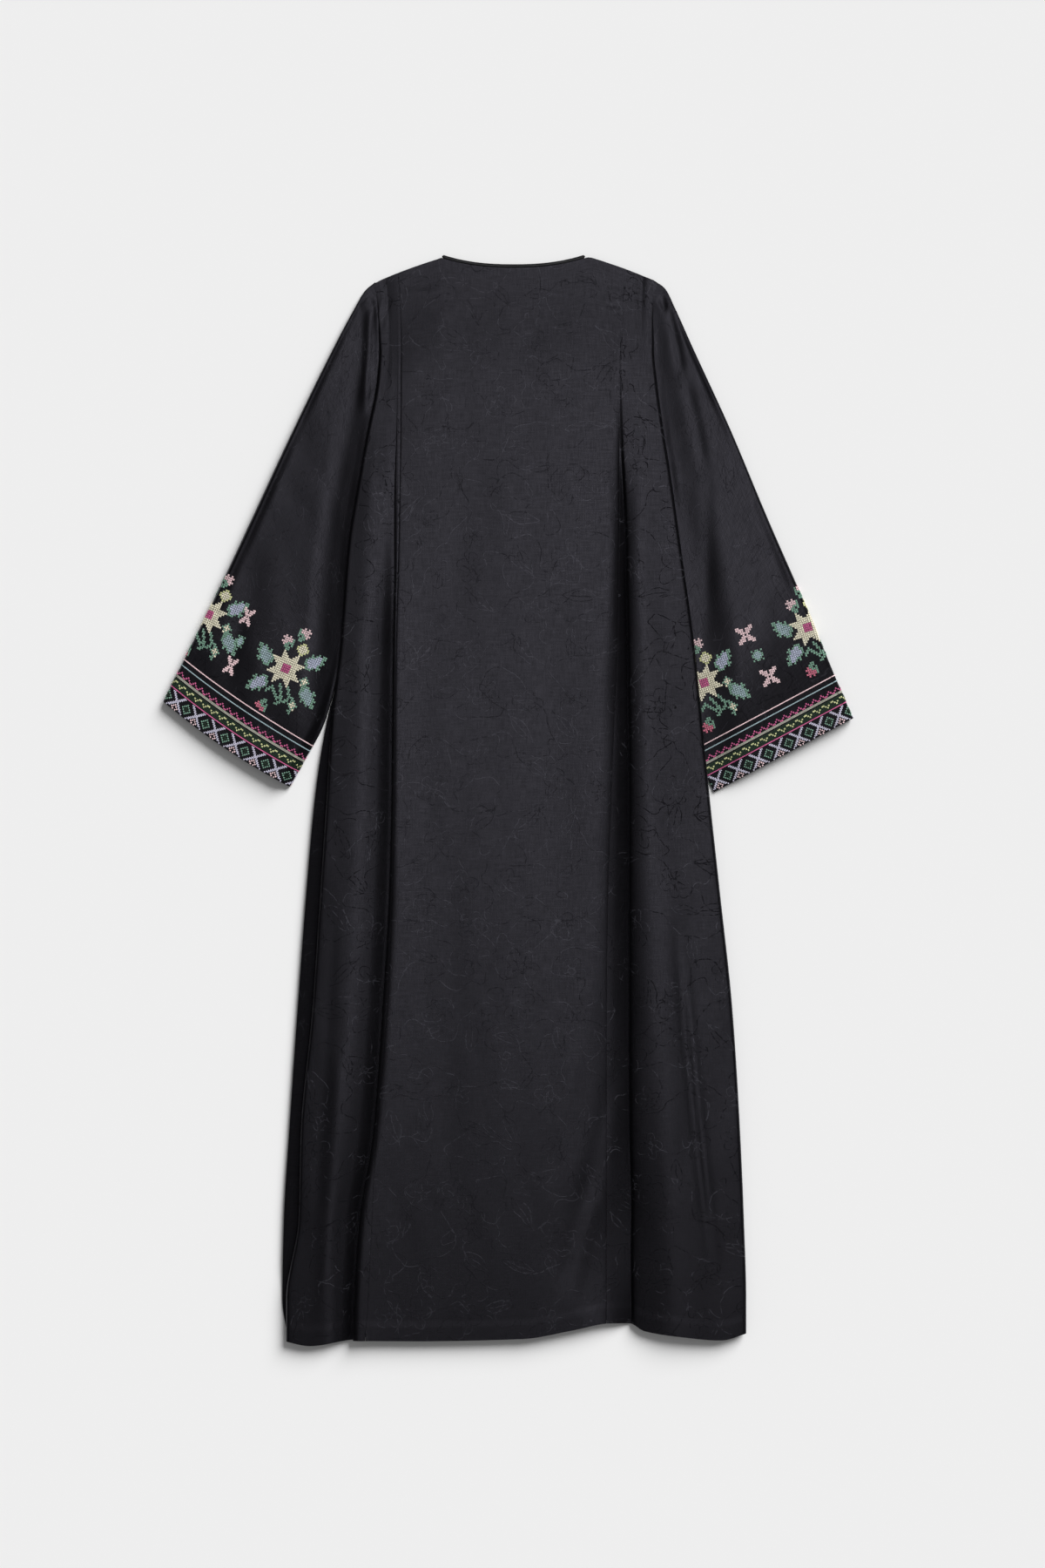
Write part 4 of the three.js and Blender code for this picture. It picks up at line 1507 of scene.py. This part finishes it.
@dataclass
class NeckBinding:
    """Bias piping round the neck: an oval roll along the edge of the back or the front."""

    material: Material
    width: float = 4.4
    height: float = 2.2
    gap: float = 0.04
    end: float = 2.0
    rounding: float = 0.008
    rows: int = 121
    sides: int = 18

    def roll(self, name: str, node: str, edge: Callable[[Array], Array], z: float) -> Piece:
        """One roll: an oval profile carried along points just outside the panel's edge.

        Args:
            name: Name of the piece.
            node: The solid that it replaces.
            edge: Upper edge of its panel, as Y for each X.
            z: Height of its middle.

        Returns:
            The roll.
        """
        reach = LIE.neck_half - self.end
        x = LIE.neck_centre + np.linspace(-reach, reach, self.rows)
        slope = edge(x + 0.5) - edge(x - 0.5)
        offset = (self.width / 2 + self.gap) / np.hypot(1.0, slope)
        path = np.stack((x - offset * slope, edge(x) + offset, np.full_like(x, z)), axis=-1)
        along = unit(np.gradient(path, axis=0))
        aside = np.stack((-along[:, 1], along[:, 0], np.zeros_like(x)), axis=-1)
        past = np.abs(np.linspace(-0.5, 0.5, self.rows)) - 0.5 + self.rounding
        past = np.maximum(0, past)[:, None, None] / self.rounding
        tip = np.sqrt(np.clip(1 - past ** 2, 0.06, 1))
        turn = 2 * math.pi * np.arange(self.sides)[None, :, None] / self.sides
        upward = np.array([0, 0, self.height / 2])
        ring = path[:, None, :] + tip * (aside[:, None, :] * (self.width / 2 * np.cos(turn))
                                         + upward * np.sin(turn))
        points = np.concatenate((ring.reshape(-1, 3), path[:1], path[-1:]))
        rows, sides = self.rows, self.sides
        i, k = (index.ravel() for index in np.indices((rows - 1, sides)))
        after = (k + 1) % sides
        body = np.stack((i * sides + k, i * sides + after, (i + 1) * sides + after,
                         (i + 1) * sides + k), axis=1)
        k, after, last = k[:sides], after[:sides], (rows - 1) * sides
        start = np.stack((np.full(sides, rows * sides), after, k), axis=1)
        end = np.stack((np.full(sides, rows * sides + 1), last + k, last + after), axis=1)
        faces = np.concatenate((body[:, [0, 1, 2]], body[:, [0, 2, 3]], start, end))
        return finish_piece(mesh_piece(name, points * MM, faces), self.material, node)

    def build(self) -> list[Piece]:
        """Builds the back's and the front's binding."""
        return [self.roll("neck_piping_back", "neck_binding_back", LIE.top, LIE.neck_layer),
                self.roll("neck_piping_front", "neck_binding_front", LIE.front_top,
                          self.height / 2)]


# ------------------------------------------------------------------ embroidery

class Thread(Enum):
    """Colours of the thread, with the letter that stands for each in the charts."""

    CREAM = ("c", (0.84, 0.79, 0.61))
    MAGENTA = ("m", (0.58, 0.12, 0.28))
    PINK = ("p", (0.82, 0.60, 0.62))
    RED = ("r", (0.62, 0.17, 0.25))
    GREEN = ("g", (0.20, 0.36, 0.27))
    BLUE = ("b", (0.33, 0.44, 0.47))
    LILAC = ("l", (0.48, 0.52, 0.66))
    YELLOW = ("y", (0.64, 0.66, 0.34))
    WHITE = ("w", (0.56, 0.54, 0.66))
    SILVER = ("s", (0.36, 0.36, 0.30))
    DARK = ("d", (0.012, 0.030, 0.016))

    @property
    def letter(self) -> str:
        """The chart's letter."""
        return self.value[0]

    @property
    def colour(self) -> Triple:
        """The thread's colour."""
        return self.value[1]


PALETTE = tuple(Thread)
LETTERS = [thread.letter for thread in PALETTE]


@dataclass(frozen=True)
class Chart:
    """A counted-thread motif: rows of letters from the top down, where a dot is bare cloth."""

    rows: tuple[str, ...]

    def stitches(self) -> tuple[Array, Array, Array]:
        """Columns and rows of the stitches, counted from the middle, and their threads."""
        letters = np.array([list(row) for row in self.rows])
        row, column = np.nonzero(letters != ".")
        kinds = np.array([LETTERS.index(letter) for letter in letters[row, column]])
        return column - (letters.shape[1] - 1) / 2, (letters.shape[0] - 1) / 2 - row, kinds

    def mirrored(self, across: bool = True, upright: bool = True) -> "Chart":
        """The chart turned over left to right, or upside down, or both."""
        rows = self.rows if upright else self.rows[::-1]
        return Chart(tuple(row[::-1] for row in rows) if across else rows)

    def doubled(self) -> "Chart":
        """The chart with its own mirror image below it."""
        return Chart(self.rows + self.rows[::-1])

    def dyed(self, letter: str, other: str) -> "Chart":
        """The chart with one thread given in another's colour."""
        return Chart(tuple(row.replace(letter, other) for row in self.rows))


STAR = Chart(("....c......c....", "....cc....cc....", "....ccc..ccc....", "....cccccccc....",
              "cccccccccccccccc", ".cccccccccccccc.", "..ccccmmmmcccc..",
              "...cccmmmmccc...")).doubled()
LEAF = Chart(("gg.g.....", "ggbbg.g..", ".gbbbgg..", "ggbbbbbg.", ".gbbbbbbg", "..gbbbbbg",
              ".ggbbbbgg", "..g.gbbg.", ".....ggg."))
BUD = Chart((".p.p..", "pppppg", ".ppppg", "pppggg", ".pgg.g", "..ggg.", "...gg."))
BLOSSOM = Chart(("..yy..", ".yccy.", "yccccy", "yccccy", ".yccy.", "..yy.."))
SPRIG = Chart(("..g..", ".gcg.", "gcccg", ".gcg.", "..gc.", ".gg..", "..g.."))
CROSS = Chart(("pp.....pp", "pppp.pppp", ".ppp.ppp.", "..ppppp..", "...p.p...", "..ppppp..",
               ".ppp.ppp.", "pppp.pppp", "pp.....pp"))
BUTTON = Chart(("g.gg.g", ".gbbg.", "gbbbbg", "gbbbbg", ".gbbg.", "g.gg.g"))
STEMS = Chart((".....g...g....", ".....gg..gg...", "..g...g...g...", ".ggg..gg..gg..",
               "gg.gg..g...ggg", "g...gg.gg..g.g", ".....gggg.gg..", "......g.ggg...",
               ".......gg.....", "......gg......"))
LATTICE = Chart(("...ww.......ww..", "....ww.....ww...", "g....ww...ww....", ".g....ww.ww....g",
                 "d.g....www....g.", "dd.g...www...g.d", "d.g...ww.ww...g.", ".g...ww.p.ww...g",
                 "g...ww.p.p.ww...", "...ww.p...p.ww..", "..w....p.p....w."))


def gathered(items: tuple[tuple[Chart, int, int], ...]) -> Chart:
    """One chart out of several laid over each other, the last on top.

    Args:
        items: Charts, each with the column and row of its middle from the whole's middle.

    Returns:
        The whole chart.
    """
    canvas = np.full((64, 64), ".")
    for chart, column, row in items:
        letters = np.array([list(line) for line in chart.rows])
        high, wide = letters.shape
        top, left = 32 - row - high // 2, 32 + column - wide // 2
        part = canvas[top:top + high, left:left + wide]
        part[letters != "."] = letters[letters != "."]
    return Chart(tuple("".join(line) for line in canvas))


BOUQUET = gathered((
    (STEMS, 2, -12), (LEAF, -12, 3), (LEAF.mirrored().dyed("b", "l"), 11, 8), (BUD, -4, 12),
    (BUD.mirrored(), 2, 18), (BLOSSOM, 4, 11),
    (LEAF.mirrored(False, False).dyed("b", "l"), -10, -10), (LEAF.mirrored(True, False), 14, -8),
    (BUD.mirrored(False, False).dyed("p", "r"), -4, -19), (SPRIG, 9, -15),
    (SPRIG.mirrored(), 10, -3), (STAR, 0, 0)))


@dataclass
class StitchSheet:
    """Stitches gathered into one mesh: every bar is a thin spindle lying on the cloth."""

    thick: float = 0.60
    broad: float = 1.15
    high: float = 0.75
    raised: float = 0.15
    waist: float = 0.45
    crossing: float = 0.22
    parts: list[tuple[Array, ...]] = field(default_factory=list)

    def bars(self, centres: Array, halves: Array, normals: Array, threads: Array,
             seed: int) -> None:
        """Adds bars.

        Args:
            centres: Middle of each bar, in millimetres.
            halves: Vector from its middle to its end.
            normals: Cloth's normal at each bar.
            threads: Number of each bar's thread in the palette.
            seed: Chooses the small differences of shade.
        """
        rng = np.random.default_rng(seed)
        base = np.array([thread.colour for thread in PALETTE])[threads]
        self.parts.append((centres, halves, normals,
                           base * rng.uniform(0.86, 1.10, (len(base), 1))))

    def crosses(self, centres: Array, right: Array, up: Array, normals: Array, threads: Array,
                pitch: float, seed: int) -> None:
        """Adds cross stitches: two bars over a square of the pitch, one lying on the other.

        Args:
            centres: Middle of each stitch, in millimetres.
            right: Unit step across at each.
            up: Unit step upwards at each.
            normals: Cloth's normal at each.
            threads: Number of each stitch's thread.
            pitch: Side of a stitch.
            seed: Chooses the unevenness.
        """
        jitter = np.random.default_rng(seed + 1).uniform(-0.08, 0.08, (len(centres), 2, 1))
        for turn, lift in ((1.0, 0.0), (-1.0, self.crossing)):
            half = (right * (1.0 + jitter[:, 0]) + up * turn * (1.0 + jitter[:, 1])) * pitch / 2
            self.bars(centres + normals * lift, half, normals, threads, seed)

    def build(self, name: str, material: Material) -> Piece:
        """Makes the mesh: each bar has two tips and two rings of four around its thirds.

        Args:
            name: Name of the piece.
            material: Its finish.

        Returns:
            The piece.
        """
        centre, half, normal, colour = (np.concatenate(part) for part in zip(*self.parts))
        side = unit(np.cross(normal, half))
        ring = [(side * math.cos(turn) * self.broad
                 + normal * (math.sin(turn) * self.high + self.raised)) * self.thick
                for turn in np.arange(0.25, 2.0, 0.5) * math.pi]
        waist = half * self.waist
        points = np.stack([centre - half, *(centre - waist + step for step in ring),
                           *(centre + waist + step for step in ring), centre + half], axis=1)
        faces = np.array([(0, 2, 1), (0, 3, 2), (0, 4, 3), (0, 1, 4),
                          (1, 2, 6), (1, 6, 5), (2, 3, 7), (2, 7, 6), (3, 4, 8), (3, 8, 7),
                          (4, 1, 5), (4, 5, 8), (9, 5, 6), (9, 6, 7), (9, 7, 8), (9, 8, 5)])
        numbers = (np.arange(len(centre)) * 10)[:, None, None] + faces
        piece = mesh_piece(name, points.reshape(-1, 3) * MM, numbers.reshape(-1, 3))
        shade = piece.data.attributes.new("thread", "FLOAT_COLOR", "POINT")
        rgba = np.concatenate((colour, np.ones((len(colour), 1))), axis=1).repeat(10, axis=0)
        shade.data.foreach_set("color", rgba.astype(np.float32).ravel())
        return finish_piece(piece, material)


@dataclass
class CuffEmbroidery:
    """Bands and bouquets round one cuff, counted from the hem and from the outer fold.

    Places are q along the hem from the outer fold and p up from the hem, in millimetres.
    """

    sleeve: Sleeve
    material: Material
    flowers: tuple[Pair, ...]
    smalls: tuple[Pair, ...]
    squeeze: float = 1.0
    pitch: float = 2.8
    small_pitch: float = 2.55
    proud: float = 0.55
    lean: float = math.radians(11.0)
    above_bands: float = 66.0
    stem: float = 1.5
    slant: float = 0.45

    def __post_init__(self) -> None:
        """Lays out the hem's own axes and the two folds beside them."""
        self.corner, inner = self.sleeve.corners(np.array(1.0))
        self.ahead, self.up = unit(inner - self.corner), -self.sleeve.hem_down()
        folds = (fold - self.corner for fold in self.sleeve.corners(np.linspace(1.0, 0.45, 60)))
        self.folds = [(off @ self.up, off @ self.ahead) for off in folds]

    def along_of(self, on: Array) -> Array:
        """Share of the sleeve's length whose row passes each point, by halving.

        Args:
            on: X and Y of each point.

        Returns:
            Shares of the length.
        """
        low, high = np.full(on.shape[:-1], 0.4), np.full(on.shape[:-1], 1.06)
        for _ in range(18):
            middle = (low + high) / 2
            outer, inner = self.sleeve.corners(np.minimum(middle, 1.0))
            run, off = inner - outer, on - outer
            past = run[..., 0] * off[..., 1] - run[..., 1] * off[..., 0]
            beyond = past * self.sleeve.hand > 0
            low, high = np.where(beyond, middle, low), np.where(beyond, high, middle)
        return np.minimum((low + high) / 2, 1.0)

    def point(self, q: Array, p: Array) -> Array:
        """X and Y of places on the hem's own axes."""
        return self.corner + q[..., None] * self.ahead + p[..., None] * self.up

    def level(self, p: Array) -> tuple[Array, ...]:
        """Start, width, radii of the two folds and girth at each height above the hem.

        Args:
            p: Heights above the hem.

        Returns:
            These five, in that order.
        """
        ends = [np.interp(p, *fold) for fold in self.folds]
        outer_r, inner_r = (self.sleeve.folds(self.along_of(self.point(q, p)))[number]
                            for number, q in enumerate(ends, 1))
        width = ends[1] - ends[0]
        return ends[0], width, outer_r, inner_r, 2 * width + (math.pi - 2) * (outer_r + inner_r)

    def place(self, q: Array, p: Array) -> Array:
        """Point on the cloth's middle at flat place q, p, walked round the folds.

        Beyond a fold the walk follows a half circle of the fold's radius down to the
        table's layer and comes back under the sleeve.

        Args:
            q: Places along the hem.
            p: Heights above it.

        Returns:
            Points in millimetres.
        """
        start, width, outer_r, inner_r, girth = self.level(p)
        walk = outer_r + np.mod(q - start - outer_r, girth)
        inner_walk, left = walk - (width - inner_r), girth + outer_r - walk
        inner_turn = np.clip(inner_walk / inner_r, 0, math.pi)
        under = np.clip(inner_walk - math.pi * inner_r, 0, width - outer_r - inner_r)
        outer_turn = np.clip(left / outer_r, 0, math.pi)
        coming = left < math.pi * outer_r
        across = np.where(
            coming, outer_r - outer_r * np.sin(outer_turn),
            np.minimum(walk, width - inner_r) + inner_r * np.sin(inner_turn) - under)
        on = self.point(start + across, p)
        along = self.along_of(on)
        on = on - self.up * self.sleeve.bow(along, across / width)[..., None]
        top = self.sleeve.upper(along, np.clip(across, outer_r, width - inner_r))
        z = np.where(inner_turn > 0, LIE.table_layer + inner_r * (1 + np.cos(inner_turn)), top)
        z = np.where(coming, LIE.table_layer + outer_r * (1 + np.cos(outer_turn)), z)
        return np.concatenate((on, z[..., None]), axis=-1)

    def frame(self, q: Array, p: Array) -> tuple[Array, ...]:
        """Point on the cloth's outside with its unit steps along q and p and its normal.

        Args:
            q: Places along the hem.
            p: Heights above it.

        Returns:
            The point, the two steps and the normal.
        """
        step, here = 0.4, self.place(q, p)
        right, up = unit(self.place(q + step, p) - here), unit(self.place(q, p + step) - here)
        normal = unit(np.cross(right, up) * -self.sleeve.hand)
        return here + normal * self.proud, right, up, normal

    def girth(self) -> float:
        """Distance round the cuff at the hem."""
        width, outer_r, inner_r = self.sleeve.folds(np.array(1.0))
        return float(2 * (width - outer_r - inner_r) + math.pi * (outer_r + inner_r))

    def around(self, shares: Array, p: Array) -> tuple[Array, ...]:
        """The frame a share of the way round the sleeve at each p."""
        start, _, _, _, girth = self.level(p)
        return self.frame(start + shares * girth, p)

    def chart_at(self, sheet: StitchSheet, chart: Chart, q: float, p: float, seed: int,
                 pitch: float, squeeze: float = 1.0) -> None:
        """Sews a chart with its middle at q, p, leaning, and squeezed in across.

        Args:
            sheet: Gathers the stitches.
            chart: The motif.
            q: Its middle along the hem.
            p: Its middle above the hem.
            seed: Chooses the unevenness.
            pitch: Side of a stitch.
            squeeze: Share of its width that is kept.
        """
        column, row, kinds = chart.stitches()
        column = column * (-self.sleeve.hand * squeeze)
        ahead, rise = math.cos(self.lean), math.sin(self.lean)
        flat_q = q + pitch * (column * ahead - row * rise)
        flat_p = p + pitch * (column * rise + row * ahead)
        keep = flat_p > self.above_bands
        here, right, up, normal = self.frame(flat_q[keep], flat_p[keep])
        sheet.crosses(here, (right * ahead + up * rise) * squeeze, up * ahead - right * rise,
                      normal, kinds[keep], pitch, seed)

    def band(self, sheet: StitchSheet, chart: Chart, p: float, step: float, seed: int) -> None:
        """Repeats a chart round the cuff at about a step, with its lowest row p up the hem.

        Args:
            sheet: Gathers the stitches.
            chart: The motif.
            p: Height of its lowest row.
            step: Side of a stitch, about.
            seed: Chooses the unevenness.
        """
        column, row, kinds = chart.stitches()
        high, wide = len(chart.rows), len(chart.rows[0])
        repeats = round(self.girth() / (wide * step))
        start = np.arange(repeats)[:, None] * wide
        shares = ((start + column + wide / 2) / (repeats * wide)).ravel()
        frames = self.around(shares, np.tile(p + (row + high / 2) * step, repeats))
        sheet.crosses(*frames, np.tile(kinds, repeats), self.girth() / (repeats * wide), seed)

    def line(self, sheet: StitchSheet, p: float, width: float, thread: Thread, seed: int) -> None:
        """A line of stem stitch: slanted bars that overlap by half their length.

        Args:
            sheet: Gathers the stitches.
            p: Height above the hem.
            width: Of the line.
            thread: Its colour.
            seed: Chooses the unevenness.
        """
        count = round(self.girth() / self.stem)
        here, right, up, normal = self.around((np.arange(count) + 0.5) / count,
                                              np.full(count, p))
        sheet.bars(here, right * self.stem + up * width * self.slant, normal,
                   np.full(count, PALETTE.index(thread)), seed)

    def build(self) -> Piece:
        """Sews the bands, bouquets and small motifs into one mesh.

        Returns:
            The piece.
        """
        sheet = StitchSheet()
        self.band(sheet, LATTICE, 0.4, 1.95, 21)
        self.line(sheet, 23.4, 1.3, Thread.MAGENTA, 22)
        self.band(sheet, Chart(("dddddd", "dyyddd", "ydddyd", "dddddy", "dddddd")), 24.6, 2.2, 23)
        for p in (37.85, 39.35):
            self.line(sheet, p, 1.3, Thread.SILVER, 24)
        self.band(sheet, Chart(("..m..", ".m.m.", "m...m")), 40.3, 2.2, 25)
        self.line(sheet, 54.0, 1.4, Thread.BLUE, 26)
        self.line(sheet, 61.6, 1.4, Thread.PINK, 27)
        for number, (q, p) in enumerate(self.flowers):
            self.chart_at(sheet, BOUQUET, q, p, 1000 + number, self.pitch)
        for number, (chart, place) in enumerate(zip((CROSS, BUTTON, CROSS), self.smalls)):
            off = np.array(place) - self.corner
            self.chart_at(sheet, chart, off @ self.ahead, off @ self.up, 2000 + number,
                          self.small_pitch, self.squeeze)
        return sheet.build(f"cuff_embroidery_{self.sleeve.side}", self.material)


@dataclass
class FrontStitches:
    """Edge of the front's own embroidery, where the front shows beside the back."""

    material: Material
    proud: float = 0.5
    inset: float = 1.2
    pitch: float = 2.6
    marks: tuple[tuple[float, float, str], ...] = (
        (0.8, 6.0, "w"), (3.6, 4.0, "g"), (0.8, 1.0, "p"), (0.6, -8.0, "g"), (3.4, -10.6, "w"),
        (0.8, -13.4, "p"), (3.6, -16.0, "p"), (0.8, -19.0, "w"), (0.8, -27.0, "g"),
        (3.4, -30.0, "p"), (0.8, -33.0, "w"))

    def build(self) -> Piece:
        """Sews single stitches on the folded edge of the front.

        Returns:
            The piece.
        """
        off, y = (np.array([mark[i] for mark in self.marks]) for i in (0, 1))
        kinds = np.array([LETTERS.index(letter) for _, _, letter in self.marks])
        z = np.full_like(y, LIE.table_layer + 2 * LIE.fold_radius + self.proud)
        centres = np.stack((BODY.at("left_under", y) + self.inset + off, y, z), axis=-1)
        sheet = StitchSheet()
        sheet.crosses(centres, *(np.tile(axis, (len(y), 1)) for axis in np.eye(3)), kinds,
                      self.pitch, 5)
        return sheet.build("front_edge_stitches", self.material)


# ------------------------------------------------------------------ stage

@dataclass
class Stage:
    """Pale table, soft light and the camera straight above."""

    centre: Pair = (0.01035, 0.01955)
    frame_height: float = 2.070
    lens: float = 85.0
    sensor: float = 36.0
    table_half: float = 6.0
    table_z: float = -0.0002
    far: float = 50.0
    key_from: Triple = (0.95, 1.22, 1.0)
    key_power: float = 4.45
    key_spread: float = 40.0
    fill: float = 0.23
    softbox_at: Triple = (0.42, 0.78, 4.3)
    softbox_size: Pair = (1.6, 3.3)
    softbox_power: float = 41.0

    def table(self) -> None:
        """The table top, a little under the cloth."""
        mesh = bpy.data.meshes.new("floor")
        mesh.from_pydata([(self.table_half * x, self.table_half * y, self.table_z)
                          for x, y in ((-1, -1), (1, -1), (1, 1), (-1, 1))], [], [(0, 1, 2, 3)])
        mesh.materials.append(PaleFloor().make())
        linked("floor", mesh)

    def camera(self) -> None:
        """The camera, whose long side takes in the frame's height."""
        data = bpy.data.cameras.new("camera")
        data.lens, data.sensor_width, data.clip_end = self.lens, self.sensor, self.far
        eye = linked("camera", data)
        eye.location = (*self.centre, self.frame_height * self.lens / self.sensor)
        bpy.context.scene.camera = eye

    def lamp(self, name: str, kind: str, place: Triple,
             power: float) -> Piece:
        """A lamp at a place, turned to the middle of the garment.

        Args:
            name: Its name.
            kind: Its type.
            place: Where it stands, in metres.
            power: Its strength.

        Returns:
            The lamp.
        """
        data = bpy.data.lights.new(name, kind)
        data.energy = power
        lamp = linked(name, data)
        lamp.location = place
        away = unit(np.array(place))
        lamp.rotation_euler = (-math.asin(away[1]), math.atan2(away[0], away[2]), 0.0)
        return lamp

    def lights(self) -> None:
        """A low soft key from the upper right, and a softbox overhead that only gives gloss."""
        key = self.lamp("key", "SUN", self.key_from, self.key_power)
        key.data.angle = math.radians(self.key_spread)
        key.visible_glossy = False
        box = self.lamp("softbox", "AREA", self.softbox_at, self.softbox_power)
        box.data.shape = "RECTANGLE"
        box.data.size, box.data.size_y = self.softbox_size
        box.visible_diffuse = False

    def build(self) -> None:
        """Builds the table, camera, lights and the pale surroundings."""
        self.table()
        self.camera()
        self.lights()
        world = bpy.data.worlds.new("pale room")
        world.use_nodes = True
        back = world.node_tree.nodes["Background"]
        back.inputs["Color"].default_value = (1.0, 1.0, 1.0, 1.0)
        back.inputs["Strength"].default_value = self.fill
        bpy.context.scene.world = world
        world.cycles_visibility.glossy = False
        bpy.context.scene.view_settings.view_transform = "Standard"


def main() -> None:
    """Builds the stage and the garment in order."""
    logging.basicConfig(level=logging.INFO, format="%(name)s: %(message)s")
    Stage().build()
    satin = SatinJacquard().make()
    # The centre panel's copy gives more lines the painted sheen; the side panels' copy, with its
    # lower bias, gives more lines painted shade.
    middle = SatinJacquard("satin_middle", painted_sheen_bias=0.03, dulled=0.22, strength=0.6).make()
    BackPanels(satin, middle).build()
    FrontPanel(SatinJacquard("satin_front", roughness=0.86, strength=0.25).make()).build()
    satin = SatinJacquard("satin_sleeves", dulled=0.22, strength=0.5, dull_from=0.49).make()
    sleeves = [Sleeve(-1, LEFT_SLEEVE, LEFT_CREASES, satin, (6.0, 0.15), clear=0.0, rise=48.0,
                      steep=1.0, hem_bow=5.5),
               Sleeve(1, RIGHT_SLEEVE, RIGHT_CREASES, satin, (7.7, 0.15))]
    thread = StitchThread().make()
    bouquets = (((109.7, 127.0), (-14.6, 129.0), (238.0, 127.0)),
                ((-3.3, 134.0), (151.0, 133.4), (272.0, 134.0)))
    smalls = (((-352, 240), (-361, 208), (-373, 177)), ((304, 216), (320, 189), (336, 161)))
    for sleeve, flowers, small, squeeze in zip(sleeves, bouquets, smalls, (0.66, 1.0)):
        sleeve.build()
        CuffEmbroidery(sleeve, thread, flowers, small, squeeze).build()
    FrontStitches(thread).build()
    NeckBinding(Piping().make()).build()


if __name__ == "__main__":
    main()
